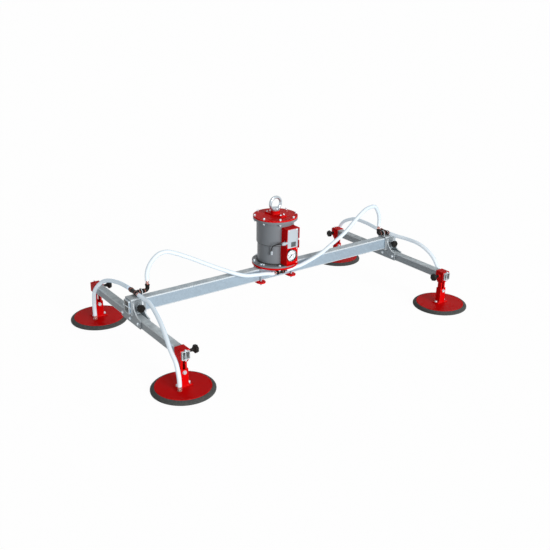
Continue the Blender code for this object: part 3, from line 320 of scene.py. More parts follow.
def hexRing(across, height, limit, count=36):
    points = []
    for i in range(count):
        offMiddle = (2 * math.pi * i / count + math.pi / 6) % (math.pi / 3) - math.pi / 6
        points.append(around(i / count, min(across / 2 / math.cos(offMiddle), limit * across), height))
    return points


def hexagon(across, start, end, turn=0.0):
    length, place = along(start, end)
    c = min(0.12 * across, length * 0.3)
    rows = [(0, 0.5), (c * 0.5, 0.545), (c, 0.578), (length - c, 0.578), (length - c * 0.5, 0.545), (length, 0.49)]
    bm = loft([hexRing(across, height, limit) for height, limit in rows])
    bm.transform(place @ Matrix.Rotation(turn, 4, "Z"))
    return bm


# A washer and a hexagon from a face outwards, with some thread past it.
def bolt(place, way, across, head, shank, tail=0.0):
    place, way = Vector(place), Vector(way).normalized()
    washer = min(1.6, head * 0.25)
    shapes = [rod(across * 0.62, place, place + way * washer, 24, 0.3),
              hexagon(across, place + way * washer, place + way * head, 0.3)]
    if tail:
        shapes.append(thread(shank, place + way * (head - 1), place + way * (head + tail), 1.2, 12))
    return shapes


def block(x, y, z, edge=1, axis=None, steps=3):
    size = Vector((abs(x[1] - x[0]), abs(y[1] - y[0]), abs(z[1] - z[0])))
    middle = Vector((sum(x), sum(y), sum(z))) / 2
    bm = bmesh.new()
    bmesh.ops.create_cube(bm, size=1, matrix=Matrix.Translation(middle) @ Matrix.Diagonal((*size, 1)))
    edges = list(bm.edges)
    if axis is not None:
        edges = [e for e in edges if abs((e.verts[1].co - e.verts[0].co)[axis]) > size[axis] / 2]
    if edge:
        bmesh.ops.bevel(bm, geom=edges, offset=edge, segments=steps, affect="EDGES", profile=0.5)
    return bm


def slab(outline, thickness, place, edge=0.8):
    half = thickness / 2
    bm = loft([[(x, y, z) for x, y in outline] for z in (-half, half)])
    rim = [e for e in bm.edges if abs(e.verts[0].co.z - e.verts[1].co.z) < half]
    bmesh.ops.bevel(bm, geom=rim, offset=edge, segments=2, affect="EDGES", profile=0.5)
    bm.transform(place)
    return bm


def roundedOutline(halfX, halfY, radius, steps=5):
    points = []
    for quarter in range(4):
        x = (halfX - radius) * (1 if quarter in (0, 3) else -1)
        y = (halfY - radius) * (1 if quarter in (0, 1) else -1)
        for step in range(steps + 1):
            angle = math.pi / 2 * (quarter + step / steps)
            points.append((x + radius * math.cos(angle), y + radius * math.sin(angle)))
    return points


# A hollow section along Z, open at both ends.
def hollowBar(halfX, halfY, halfLength, wall, corner, place, edge=0.6):
    def ring(inset, height):
        radius = max(corner - inset, 0.6)
        return [Vector((x, y, height)) for x, y in roundedOutline(halfX - inset, halfY - inset, radius)]

    far = halfLength
    near = halfLength - edge
    rings = [ring(0, -near), ring(0, near), ring(edge, far), ring(wall - edge, far)]
    rings += [ring(wall, near), ring(wall, -near), ring(wall - edge, -far), ring(edge, -far)]
    bm = loft(rings, closed=True)
    bm.transform(place)
    return bm


# A tube along points. A hollow one has a wall, open at both ends. The radius may be a list, one for each point.
def sweep(points, radius, count=16, hollow=0.0):
    points = [Vector(p) for p in points]
    radii = radius if isinstance(radius, list) else [radius] * len(points)
    ways = [(b - a).normalized() for a, b in zip(points, points[1:])]
    ways = [ways[0], *[(a + b).normalized() for a, b in zip(ways, ways[1:])], ways[-1]]
    across = ways[0].orthogonal().normalized()
    frames = []
    for way in ways:
        across = (across - way * across.dot(way)).normalized()
        frames.append((across, way.cross(across)))

    def rings(inset):
        made = []
        for point, (u, v), r in zip(points, frames, radii):
            made.append([point + (u * p.x + v * p.y) for p in circle(r - inset, count)])
        return made

    if hollow:
        return loft(rings(0) + rings(hollow)[::-1], closed=True)
    return loft(rings(0))


# How thick a weld is at a step along it, as a share.
def ripple(i):
    return 0.9 + 0.14 * math.sin(i * 1.9)


def bead(start, end, radius=2):
    start, end = Vector(start), Vector(end)
    count = max(6, round((end - start).length / 1.6))
    points = [start.lerp(end, i / count) for i in range(count + 1)]
    radii = [radius * (0.55 if i in (0, count) else ripple(i)) for i in range(count + 1)]
    return sweep(points, radii, 8)


def ringBead(radius, height, size=2, place=Matrix(), count=120):
    rings = []
    for i in range(count):
        out = around(i / count, 1)
        rings.append([out * (radius + p.x) + Vector((0, 0, height + p.y)) for p in circle(size * ripple(i), 8)])
    bm = loft(rings, closed=True)
    bm.transform(place)
    return bm


# An object of a shape, for the modifiers.
def asObject(bm):
    mesh = bpy.data.meshes.new("scratch")
    bm.to_mesh(mesh)
    bm.free()
    return newObject("scratch", mesh)


# The shape that an object comes to, with its modifiers. The object goes.
def asShape(made):
    bpy.context.view_layer.update()
    mesh = bpy.data.meshes.new_from_object(made.evaluated_get(bpy.context.evaluated_depsgraph_get()))
    bpy.data.objects.remove(made)
    bm = bmesh.new()
    bm.from_mesh(mesh)
    return bm


# A shape with others cut from it, and its new edges rounded.
def carved(base, cuts, edge=0.6, steps=2):
    body = asObject(base)
    others = [asObject(cut) for cut in cuts]
    for other in others:
        cut = body.modifiers.new("cut", "BOOLEAN")
        cut.operation = "DIFFERENCE"
        cut.solver = "EXACT"
        cut.object = other
    if edge:
        rounding = body.modifiers.new("edges", "BEVEL")
        rounding.width = edge
        rounding.segments = steps
        rounding.limit_method = "ANGLE"
        rounding.angle_limit = math.radians(40)
    bm = asShape(body)
    for other in others:
        bpy.data.objects.remove(other)
    return bm


# Gives each flat face a border of its own, so that neither shading nor the rubbed and highlighted edge colour spreads
# over it from its edges.
def calmFlats(bm, margin=1.5):
    bm.normal_update()
    flats = []
    for face in bm.faces:
        angles = [e.calc_face_angle(0) for e in face.edges]
        bounded = all(a < 0.001 or a > 0.13 for a in angles)
        if bounded and face.calc_area() > 1.6 * margin * face.calc_perimeter():
            flats.append(face)
    for face in flats:
        outer, normal = list(face.verts), face.normal.copy()
        ways = [(b.co - a.co).normalized() for a, b in zip(outer, outer[1:] + outer[:1])]
        inward = [normal.cross(way) for way in ways]
        inner = []
        for vertex, before, after in zip(outer, inward[-1:] + inward[:-1], inward):
            inner.append(bm.verts.new(vertex.co + (before + after) * margin / max(1 + before.dot(after), 0.4)))
        for i in range(len(outer)):
            j = (i + 1) % len(outer)
            bm.faces.new((outer[i], outer[j], inner[j], inner[i]))
        bm.faces.new(inner)
        bm.faces.remove(face)
    bm.normal_update()


# Writes how sharp the outward edges are at each point, from 0 at 5 degrees to 1 at 20.
def markEdges(bm):
    layer = bm.verts.layers.float.new("edge")
    for vertex in bm.verts:
        edges = [e for e in vertex.link_edges if len(e.link_faces) == 2]
        sharpest = max((math.degrees(e.calc_face_angle_signed(0)) for e in edges), default=0)
        vertex[layer] = min(1.0, max(0.0, (sharpest - 5) / 15))


# One mesh of several shapes.
def joined(shapes):
    bm = bmesh.new()
    for shape in shapes:
        calmFlats(shape)
        mesh = bpy.data.meshes.new("part")
        shape.to_mesh(mesh)
        shape.free()
        bm.from_mesh(mesh)
        bpy.data.meshes.remove(mesh)
    markEdges(bm)
    made = bpy.data.meshes.new("shape")
    bm.to_mesh(made)
    bm.free()
    return made


# effects that several finishes share

pattern = named(wearScale=90.0, wearRise=0.15, dustScale=22.0, dustFrom=0.5, warpScale=60.0, warp=0.012,
                zincRoughness=0.16, bumpHeight=0.0004)


def node(tree, kind, settings=None, inputs=None):
    made = tree.nodes.new(kind)
    for key, value in (settings or {}).items():
        setattr(made, key, value)
    for key, value in (inputs or {}).items():
        if isinstance(value, bpy.types.NodeSocket):
            tree.links.new(value, made.inputs[key])
        else:
            made.inputs[key].default_value = value
    return made


def effect(name, inputs, outputs):
    tree = bpy.data.node_groups.new(name, "ShaderNodeTree")
    for way, labels in (("INPUT", inputs), ("OUTPUT", outputs)):
        for label in labels:
            kind = "NodeSocketColor" if label in ("Colour", "WornAndHighlight", "DustAndTopLight") else "NodeSocketFloat"
            tree.interface.new_socket(label, in_out=way, socket_type=kind)
    return tree, node(tree, "NodeGroupInput").outputs, node(tree, "ShaderNodeTexCoord").outputs["Object"]


def maths(tree, operation, *values):
    return node(tree, "ShaderNodeMath", {"operation": operation}, dict(enumerate(values))).outputs[0]


def noise(tree, place, scale, detail):
    return node(tree, "ShaderNodeTexNoise", inputs={"Vector": place, "Scale": scale, "Detail": detail}).outputs


def ramp(tree, value, low, high):
    return node(tree, "ShaderNodeMapRange", inputs={0: value, 1: low, 2: high, 3: 0.0, 4: 1.0}).outputs[0]


# The group's colour and roughness, both moved by one swing about zero.
def varied(tree, start, swing, amount, spread):
    factor = maths(tree, "MULTIPLY_ADD", swing, amount, 1)
    scaled = node(tree, "ShaderNodeVectorMath", {"operation": "SCALE"}, {0: start["Colour"], "Scale": factor})
    rough = maths(tree, "MULTIPLY_ADD", swing, spread, start["Roughness"])
    node(tree, "NodeGroupOutput", inputs={"Colour": scaled.outputs[0], "Roughness": rough})
    return tree


# The group's colour with another one over it where the mask says.
def covered(tree, start, mask, other):
    mask = maths(tree, "MULTIPLY", mask, start["Amount"])
    mix = node(tree, "ShaderNodeMix", {"data_type": "RGBA"}, {0: mask, 6: start["Colour"], 7: start[other]})
    node(tree, "NodeGroupOutput", inputs={"Colour": mix.outputs[2], "Mask": mask})
    return tree


# Slow changes of tone over a surface, and of its roughness with them.
def shadeDrift():
    tree, start, place = effect("shade drift", ("Colour", "Amount", "Scale", "Roughness", "Spread"),
                                ("Colour", "Roughness"))
    swing = maths(tree, "SUBTRACT", noise(tree, place, start["Scale"], 4.0)[0], 0.5)
    return varied(tree, start, swing, start["Amount"], start["Spread"])


# The skin of a coat of paint or a moulding, as a height.
def fineGrain():
    tree, start, place = effect("fine grain", ("Scale", "Depth", "Pits"), ("Height",))
    cells = node(tree, "ShaderNodeTexVoronoi", inputs={"Vector": place, "Scale": start["Scale"]})
    pits = maths(tree, "MULTIPLY", cells.outputs["Distance"], start["Pits"])
    waves = maths(tree, "MULTIPLY", noise(tree, place, start["Scale"], 2.0)[0], start["Depth"])
    node(tree, "NodeGroupOutput", inputs={"Height": maths(tree, "ADD", waves, pits)})
    return tree


# Where the edges have rubbed, broken up by noise. The lighter edge colour is partly a painted highlight along the
# rounded edges, most of all on the galvanised finish.
def edgeWearAndHighlight():
    tree, start, place = effect("edge wear", ("Colour", "WornAndHighlight", "Amount", "Break"), ("Colour", "Mask"))
    rise = node(tree, "ShaderNodeAttribute", {"attribute_name": "edge"}).outputs["Fac"]
    full = maths(tree, "ADD", start["Break"], pattern.wearRise)
    patch = ramp(tree, noise(tree, place, pattern.wearScale, 5.0)[0], start["Break"], full)
    return covered(tree, start, maths(tree, "MULTIPLY", rise, patch), "WornAndHighlight")


# A thin film on what faces up, thicker in patches: settled dirt, and where it is strong, as on the galvanised finish,
# a painted lighter top that stands in for light falling from above.
def settledDustAndTopLight():
    tree, start, place = effect("settled dust", ("Colour", "DustAndTopLight", "Amount"), ("Colour", "Mask"))
    normal = node(tree, "ShaderNodeNewGeometry").outputs["Normal"]
    facing = ramp(tree, node(tree, "ShaderNodeSeparateXYZ", inputs={0: normal}).outputs[2], pattern.dustFrom, 1.0)
    patches = noise(tree, place, pattern.dustScale, 6.0)[0]
    return covered(tree, start, maths(tree, "MULTIPLY", facing, patches), "DustAndTopLight")


# The crystals of a galvanised coat, each a little lighter or darker than its neighbours.
def zincSpangle():
    tree, start, place = effect("zinc spangle", ("Colour", "Contrast", "Scale", "Roughness"),
                                ("Colour", "Roughness"))
    warp, bend = noise(tree, place, pattern.warpScale, 2.0)[1], (pattern.warp,) * 3
    bent = node(tree, "ShaderNodeVectorMath", {"operation": "MULTIPLY_ADD"}, {0: warp, 1: bend, 2: place}).outputs[0]
    cells = node(tree, "ShaderNodeTexVoronoi", inputs={"Vector": bent, "Scale": start["Scale"]}).outputs["Color"]
    tone = node(tree, "ShaderNodeSeparateColor", inputs={0: cells}).outputs[0]
    return varied(tree, start, maths(tree, "SUBTRACT", tone, 0.5), start["Contrast"], pattern.zincRoughness)


effects = {make.__name__: make() for make in (shadeDrift, fineGrain, edgeWearAndHighlight, settledDustAndTopLight, zincSpangle)}
print("effects made:", ", ".join(effects))

# finishes

plainFinish = {"drift": 0.12, "driftScale": 7.0, "roughness": 0.45, "spread": 0.15, "grain": 700.0, "depth": 0.4,
               "pits": 0.0, "bump": 0.12, "worn": None, "wear": 0.5, "broken": 0.45, "dust": 0.05, 
               "dustColour": (0.55, 0.53, 0.5), "spangle": 0.0, "spangleScale": 90.0, "metallic": 0.0,
               "specular": 0.3, "sockets": {}}


def finish(slot, colour, **own):
    return named({**plainFinish, "slot": slot, "colour": colour, **own})


finishes = {
    "paintedRed": finish("painted_red", (0.76, 0.002, 0.003), drift=0.08, roughness=0.4, grain=420.0, bump=0.08,
        worn=(0.9, 0.05, 0.045), wear=0.6, dust=0.015, dustColour=(0.4, 0.2, 0.19), specular=0.03),
    # the galvanised finish's strong film on what faces up is a painted lighter top, standing in for light from above,
    # and its pale edges are a painted highlight
    "galvanised": finish("galvanised", (0.375, 0.475, 0.56), drift=0.1, driftScale=3.0, roughness=0.42, grain=260.0,
        bump=0.06, worn=(0.78, 0.84, 0.88), wear=0.8, broken=0.25, dust=1.3, dustColour=(0.86, 0.93, 0.95),
        spangle=0.07, metallic=0.12, specular=0.25),
    "paintedGrey": finish("painted_grey", (0.24, 0.262, 0.285), drift=0.14, roughness=0.42, grain=380.0,
        worn=(0.4, 0.43, 0.45), wear=0.6),
    "boltSteel": finish("bright_steel", (0.68, 0.75, 0.8), drift=0.1, driftScale=60.0, roughness=0.32, grain=900.0,
        bump=0.05, worn=(0.92, 0.95, 0.97), wear=0.6, dust=0.02, metallic=0.65, specular=0.4),
    "brightSteel": finish("bright_steel", (0.49, 0.56, 0.61), drift=0.16, driftScale=30.0, roughness=0.25,
        grain=900.0, bump=0.06, worn=(0.85, 0.88, 0.9), wear=0.25, dust=0.02, metallic=0.6, specular=0.4),
    "castAlloy": finish("cast_alloy", (0.5, 0.52, 0.54), drift=0.16, roughness=0.5, grain=320.0, bump=0.2, pits=0.5,
        dust=0.02, metallic=0.6, specular=0.4),
    "blackPlastic": finish("black_plastic", (0.011, 0.01, 0.009), drift=0.3, roughness=0.4, grain=900.0, bump=0.2,
        worn=(0.05, 0.048, 0.045), wear=0.25, dust=0.01, specular=0.14),
    "rubber": finish("rubber", (0.062, 0.066, 0.064), drift=0.25, driftScale=14.0, roughness=0.68, spread=0.2,
        grain=520.0, bump=0.3, pits=0.3, worn=(0.12, 0.125, 0.12), dust=0.1, specular=0.2),
    # a clear skin, deeper in colour where it is seen edge on, with a painted glow that stands in for light passing
    # through it
    "hosePlasticPaintedGlow": finish("hose_plastic", (0.88, 0.9, 0.915), drift=0.02, roughness=0.3, spread=0.08, grain=160.0,
        bump=0.02, dust=0.01,
        sockets={"Coat Weight": 1.0, "Coat IOR": 1.04, "Coat Tint": (0.81, 0.865, 0.905, 1),
                 "Emission Color": (0.95, 0.975, 1.0, 1), "Emission Strength": 0.38}),
    "palePlastic": finish("pale_plastic", (0.57, 0.65, 0.705), drift=0.06, bump=0.15, worn=(0.75, 0.8, 0.84),
        dust=0.03),
    "darkPlastic": finish("dark_plastic", (0.105, 0.12, 0.127), roughness=0.5, grain=800.0, bump=0.2,
        worn=(0.2, 0.22, 0.23), dust=0.02),
    "cableSheath": finish("dark_plastic", (0.03, 0.03, 0.03), drift=0.2, roughness=0.5, bump=0.15, dust=0.03),
    "copperFitting": finish(None, (0.42, 0.15, 0.115), drift=0.15, driftScale=40.0, roughness=0.35, grain=900.0,
        bump=0.08, worn=(0.6, 0.32, 0.26), wear=0.4, dust=0.0, metallic=0.3),
    "dialFace": finish(None, (0.9, 0.91, 0.92), drift=0.03, roughness=0.5, grain=900.0, bump=0.03, dust=0.0,
        specular=0.2),
    "dialInk": finish(None, (0.02, 0.02, 0.022), drift=0.2, roughness=0.5, grain=900.0, bump=0.02, dust=0.0,
        specular=0.2),
    "hoseEnd": finish("hose_plastic", (0.94, 0.96, 0.98), drift=0.02, roughness=0.04, spread=0.03, bump=0.01,
        dust=0.0, sockets={"Transmission Weight": 0.94, "IOR": 1.08}),
    "clearPlastic": finish("clear_plastic", (0.97, 0.98, 0.99), drift=0.01, roughness=0.03, spread=0.02, bump=0.01,
        dust=0.0, sockets={"Transmission Weight": 1.0, "IOR": 1.25}),
}
zinc = finishes["galvanised"]
finishes["galvanisedArm"] = named({**zinc, "colour": (0.345, 0.392, 0.42), "driftScale": 8.0})
# a pale inside for the bars: painted light in the bore
finishes["galvanisedBore"] = named({**zinc, "colour": (0.66, 0.665, 0.66), "metallic": 0.0, "specular": 0.1})


def makeFinish(name, look):
    made = bpy.data.materials.new(name)
    made.use_nodes = True
    tree = made.node_tree
    shader = tree.nodes["Principled BSDF"]
    for socket, value in {"Metallic": look.metallic, "Specular IOR Level": look.specular, **look.sockets}.items():
        shader.inputs[socket].default_value = value

    def use(effectName, inputs):
        return node(tree, "ShaderNodeGroup", {"node_tree": effects[effectName]}, inputs).outputs

    drift = use("shadeDrift", {"Colour": (*look.colour, 1), "Amount": look.drift, "Scale": look.driftScale,
                               "Roughness": look.roughness, "Spread": look.spread})
    colour, rough = drift["Colour"], drift["Roughness"]
    if look.spangle:
        crystals = use("zincSpangle", {"Colour": colour, "Contrast": look.spangle, "Scale": look.spangleScale,
                                       "Roughness": rough})
        colour, rough = crystals["Colour"], crystals["Roughness"]
    if look.worn:
        colour = use("edgeWearAndHighlight", {"Colour": colour, "WornAndHighlight": (*look.worn, 1), "Amount": look.wear,
                                  "Break": look.broken})["Colour"]
    if look.dust:
        film = use("settledDustAndTopLight", {"Colour": colour, "DustAndTopLight": (*look.dustColour, 1), "Amount": look.dust})
        colour = film["Colour"]
        rough = maths(tree, "ADD", rough, film["Mask"])
    grain = use("fineGrain", {"Scale": look.grain, "Depth": look.depth, "Pits": look.pits})["Height"]
    bump = node(tree, "ShaderNodeBump",
                inputs={"Strength": look.bump, "Distance": pattern.bumpHeight, "Height": grain})
    for socket, value in (("Base Color", colour), ("Roughness", rough), ("Normal", bump.outputs[0])):
        tree.links.new(value, shader.inputs[socket])
    return made


materials = {name: makeFinish(name, look) for name, look in finishes.items()}
print("finishes made:", len(materials))


def dress(made, look):
    made.data.materials.clear()
    made.data.materials.append(materials[look])
    if finishes[look].slot:
        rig.slot(made, finishes[look].slot)


# One piece of one finish. The shapes may be a mesh that several places share.
def piece(name, body, look, shapes, replaces=(), place=None, angle=35):
    mesh = shapes.copy() if isinstance(shapes, bpy.types.Mesh) else joined(shapes)
    mesh.name = name
    if place is not None:
        mesh.transform(place)
    mesh.transform(toMetres)
    mesh.shade_smooth()
    mesh.set_sharp_from_angle(angle=math.radians(angle))
    made = newObject(name, mesh)
    dress(made, look)
    if body:
        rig.ride(made, body)
    if replaces:
        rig.replaces(made, *([replaces] if isinstance(replaces, str) else replaces))
    return made


# hoses and the sensor's cable

hose = named(radius=12.5, wall=3, over=20, spacing=9, count=20, lastRun=165)
hoseEnd = named(centre=(-10, -75, 311), centreReach=52.3, bendX=913, bendY=5, bendZ=430.3, teeX=991,
                teeY={"front": -39.3, "back": 87.3}, teeZ=370, spigotX=1047, spigotY=46, spigotZ=52, padY=545)
cable = named(radius=4, over=3, spacing=4, count=14)
mainRoutes = {
    "left": [(-120, -76, 322), (-200, -78, 332), (-290, -72, 347), (-410, -60, 400), (-535, -45, 465),
             (-660, -34, 533), (-768, -25, 584), (-815, -18, 590), (-855, -12, 575), (-893, -2, 530),
             (-911, 4, 480)],
    "right": [(100, -77, 318), (165, -80, 326), (310, -76, 364), (420, -70, 414), (530, -65, 468), (630, -54, 536),
              (715, -45, 587), (790, -27, 598), (845, -18, 588), (893, -4, 530), (911, 3, 480)],
}
branchRoutes = {
    "front_left": [(-988, -100, 366), (-986, -163, 363), (-1003, -285, 333), (-1025, -398, 291),
                   (-1046, -497, 235), (-1047, -560, 178), (-1048, -588, 110)],
    "back_left": [(-986, 150, 362), (-987, 238, 353), (-1000, 340, 335), (-1015, 409, 308), (-1038, 455, 262),
                  (-1046, 485, 213), (-1047, 497, 148), (-1047, 500, 90)],
    "front_right": [(999, -100, 367), (1015, -177, 366), (1022, -279, 362), (1032, -355, 336), (1041, -411, 296),
                    (1047, -445, 250), (1048, -480, 190), (1047, -497, 110)],
    "back_right": [(998, 150, 371), (1010, 230, 372), (1018, 323, 369), (1030, 400, 358), (1042, 515, 307),
                   (1047, 571, 251), (1047, 590, 190), (1047, 592, 110)],
}
cableRoute = [(-72, -154, 533), (-79, -143, 531), (-86, -121.05, 519.95), (-90, -100, 505), (-90, -89, 488)]


# Evenly spaced points along a smooth curve through the given ones.
def smoothRoute(points, spacing):
    guides = [2 * points[0] - points[1], *points, 2 * points[-1] - points[-2]]
    dense = [points[0]]
    for a, b, c, d in zip(guides, guides[1:], guides[2:], guides[3:]):
        for step in range(1, 21):
            t = step / 20
            square = (2 * a - 5 * b + 4 * c - d) * t**2
            dense.append((2 * b + (c - a) * t + square + (3 * b - a - 3 * c + d) * t**3) / 2)
    length = sum((q - p).length for p, q in zip(dense, dense[1:]))
    count = round(length / spacing)
    result, travelled = [dense[0]], 0.0
    for p, q in zip(dense, dense[1:]):
        step = (q - p).length
        while len(result) < count and travelled + step >= length * len(result) / count:
            result.append(p.lerp(q, (length * len(result) / count - travelled) / step))
        travelled += step
    return result + [dense[-1]]


# The path from start to end through a route, with the lengths that sit over the barbs.
def routeBetween(start, startWay, route, end, endWay, line):
    start, startWay, end, endWay = (Vector(v) for v in (start, startWay, end, endWay))
    inner = [start + startWay * line.radius, *[Vector(p) for p in route], end + endWay * line.radius]
    first = [start - startWay * line.over, start - startWay * line.over / 2, start]
    last = [end, end - endWay * line.over / 2, end - endWay * line.over]
    return first + smoothRoute(inner, line.spacing) + last


def lengthOf(path):
    return sum((q - p).length for p, q in zip(path, path[1:]))


def hosePiece(name, path, clearAtStart, clearAtEnd, replaces=()):
    bm = sweep(path, hose.radius, hose.count, hollow=hose.wall)
    made = piece(name, None, "hosePlasticPaintedGlow", [bm], replaces, angle=60)
    made.data.materials.append(materials["hoseEnd"])
    marks = path[:1] * clearAtStart + path[-1:] * clearAtEnd
    for face in made.data.polygons:
        if any((face.center / mm - mark).length < hose.over * 1.2 for mark in marks):
            face.material_index = 1
    return made


def declareCord(made, path, radius, stiffness):
    path = [p * mm for p in path]
    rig.cord(made, exit=path[0], length=lengthOf(path), diameter=2 * radius * mm, far_end="object",
            stiffness=stiffness, lay="loose", path=path)


for side, s in sides.items():
    x, y, z = hoseEnd.centre
    path = routeBetween((x + s * hoseEnd.centreReach, y, z), (s, 0, 0), mainRoutes[side],
                        (s * hoseEnd.bendX, hoseEnd.bendY, hoseEnd.bendZ), (0, 0, 1), hose)
    made = hosePiece(f"mainHose_{side}", path, True, True, f"main_hose_{side}")
    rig.blend(made, "frame", f"saddle_{side}", start=(path[0].x * mm, 0, 0), end=(s * 0.9, 0, 0))
    declareCord(made, path, hose.radius, "medium")
    for end, w in ends.items():
        corner = f"{end}_{side}"
        spigot = (s * hoseEnd.spigotX, w * hoseEnd.padY + s * hoseEnd.spigotY, hoseEnd.spigotZ)
        path = routeBetween((s * hoseEnd.teeX, hoseEnd.teeY[end], hoseEnd.teeZ), (0, w, 0), branchRoutes[corner],
                            spigot, (0, 0, 1), hose)
        cut = len(path) - 1
        while lengthOf(path[cut:]) < hose.lastRun:
            cut -= 1
        upper, lower = path[:cut + 1], path[cut:]
        meet = path[cut]
        first = hosePiece(f"branchHose_{corner}", upper, True, False, f"branch_hose_{corner}")
        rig.blend(first, f"saddle_{side}", f"bracket_{corner}", start=(0, upper[0].y * mm, 0),
                 end=(0, (meet.y - w * 15) * mm, 0))
        declareCord(first, upper, hose.radius, "medium")
        second = hosePiece(f"branchHoseEnd_{corner}", lower, False, True)
        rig.blend(second, f"bracket_{corner}", f"pad_{corner}", start=(0, 0, (meet.z - 15) * mm), end=(0, 0, 0.056))
        declareCord(second, lower, hose.radius, "medium")

cableStart, cableEnd = Vector((-62.3, -158, 531.5)), Vector((-88.4, -86.5, 472.3))
cablePath = routeBetween(cableStart, (-1, 0, 0), cableRoute, cableEnd, (0, 0, 1), cable)
sensorCable = piece("sensorCable", "frame", "cableSheath", [sweep(cablePath, cable.radius, cable.count)],
                    "sensor_cable", angle=60)
declareCord(sensorCable, cablePath, cable.radius, "stiff")
print("hoses laid")

# beam and cross arms

beam = named(halfLength=1056, halfWidth=30, halfHeight=40, wall=4, corner=6, middle=301, stop=1051)
arm = named(halfLength=588.5, half=25, wall=4, corner=5, middle=220, stop=583.5, x=1000)
stopBolt = named(radius=3, across=10, head=8)


# A bolt through a bar, with a head on each of its two faces.
def stopBoltShapes(tip, end, first, second):
    way = (Vector(second) - Vector(first)).normalized()
    shapes = [thread(stopBolt.radius, tip, end, 1, 12)]
    for spot, out in ((first, -way), (second, way)):
        shapes += bolt(spot, out, stopBolt.across, stopBolt.head, stopBolt.radius)
    return shapes


# The inside of a bar, in a pale grey finish: painted light that stands in for the light reaching into the bore.
def paintedLightBore(made, middle, axis, halfWidth, halfHeight):
    made.data.materials.append(materials["galvanisedBore"])
    for face in made.data.polygons:
        offset = face.center / mm - Vector(middle)
        if abs(offset[axis]) < halfWidth + 0.05 and abs(offset.z) < halfHeight + 0.05:
            face.material_index = 1


bar = hollowBar(beam.halfWidth, beam.halfHeight, beam.halfLength, beam.wall, beam.corner,
                move(0, 0, beam.middle) @ alongX)
made = piece("mainBeam", "frame", "galvanised", [bar], "main_beam")
paintedLightBore(made, (0, 0, beam.middle), 1, beam.halfWidth - beam.wall, beam.halfHeight - beam.wall)
shapes = []
for s in (-1, 1):
    x, z, face = s * beam.stop, beam.middle, beam.halfWidth
    shapes += stopBoltShapes((x, -face - 1, z), (x, face + 10, z), (x, -face, z), (x, face, z))
piece("beamStopBolts", "frame", "boltSteel", shapes)

for side, s in sides.items():
    body = f"saddle_{side}"
    place = move(s * arm.x, 0, arm.middle) @ alongY
    bar = hollowBar(arm.half, arm.half, arm.halfLength, arm.wall, arm.corner, place)
    made = piece(f"crossArm_{side}", body, "galvanisedArm", [bar], f"cross_arm_{side}")
    paintedLightBore(made, (s * arm.x, 0, arm.middle), 0, arm.half - arm.wall, arm.half - arm.wall)
    shapes = []
    for w in (-1, 1):
        x, y = s * arm.x, w * arm.stop
        low, high = arm.middle - arm.half, arm.middle + arm.half
        shapes += stopBoltShapes((x, y, low - 10), (x, y, high), (x, y, low), (x, y, high))
    piece(f"armStopBolts_{side}", body, "boltSteel", shapes)
print("beam and arms made")

# saddles

saddle = named(halfWidth=39, halfHeight=49, inboard=52, outboard=43, wall=8, corner=5, plate=8, plateOut=29.3,
               plateHalf=120, plateLow=195, plateEnd=250, plateTop=338, boss=7, bossAcross=22)
saddleBolt = named(radius=5, across=16, head=7, pitch=100, z=223, face=33.3)
holder = named(x=956, y=5, half=20, low=347, high=389, corner=12, thickness=4)


# The outline of a saddle's side plate, arched on both sides of the beam.
def gussetOutline():
    inner = saddle.halfWidth - 1
    half = [(saddle.plateHalf, saddle.plateLow)]
    for step in range(16, -1, -1):
        angle = math.pi / 2 * step / 16
        y = saddle.plateHalf - (saddle.plateHalf - inner) * math.cos(angle)
        half.append((y, saddle.plateTop - (saddle.plateTop - saddle.plateEnd) * math.sin(angle)))
    return half + [(-y, z) for y, z in reversed(half)]


for side, s in sides.items():
    body = f"saddle_{side}"
    x, z = s * arm.x, beam.middle
    middle = x + s * (saddle.outboard - saddle.inboard) / 2
    half = (saddle.outboard + saddle.inboard) / 2
    shapes = [hollowBar(saddle.halfWidth, saddle.halfHeight, half, saddle.wall, saddle.corner,
                        move(middle, 0, z) @ alongX, 1)]
    room = block((x - 200, x + 200), (-31, 31), (260, 342), 0)
    for w in (-1, 1):
        plateX = x + w * saddle.plateOut
        plate = slab(gussetOutline(), saddle.plate, move(plateX, 0, 0) @ alongX, 1)
        shapes.append(carved(plate, [room.copy()], 0))
        for face in (-1, 1):
            for y in (-saddle.halfWidth, saddle.halfWidth):
                across = plateX + face * saddle.plate / 2
                if abs(across - middle) < half - 3:
                    shapes.append(bead((across, y, 256), (across, y, 334), 2.2))
    room.free()
    front = -saddle.halfWidth
    shapes += [hexagon(saddle.bossAcross, (x, front + 1, z), (x, front - saddle.boss, z)),
               ringBead(saddle.bossAcross * 0.54, 0, 1.8, aimed((x, front, z), (0, -1, 0)), 60)]
    h = holder.half
    outline = [(h, holder.low), (h, holder.high - holder.corner), (h - holder.corner, holder.high)]
    outline += [(-y, z) for y, z in reversed(outline)]
    shapes.append(slab(outline, holder.thickness, move(s * holder.x, holder.y, 0) @ alongX, 0.7))
    for face in (-1, 1):
        across = s * holder.x + face * holder.thickness / 2
        shapes.append(bead((across, holder.y - h, 350), (across, holder.y + h, 350), 1.8))
    piece(f"saddleSleeve_{side}", body, "galvanisedArm", shapes, f"saddle_{side}")
    shapes = []
    for y in (-saddleBolt.pitch, 0, saddleBolt.pitch):
        for w in (-1, 1):
            place = (x + w * saddleBolt.face, y, saddleBolt.z)
            tail = 0 if w == -1 else 3
            shapes += bolt(place, (w, 0, 0), saddleBolt.across, saddleBolt.head, saddleBolt.radius, tail)
    piece(f"saddleBolts_{side}", body, "boltSteel", shapes)
print("saddles made")

# knobs

knob = named(radius=25, thickness=20, lobes=7, points=112, depth=2.6, hub=14, stud=6)
knobPlace = named(saddleY=-46, padX=959, padY=545, padZ=220, reach=15.7)

knobEdge = [(0, 5), (0.4, 3.2), (1.6, 1.3), (4, 0.2), (10, 0), (16, 0.2), (18.4, 1.3), (19.6, 3.2), (20, 5)]


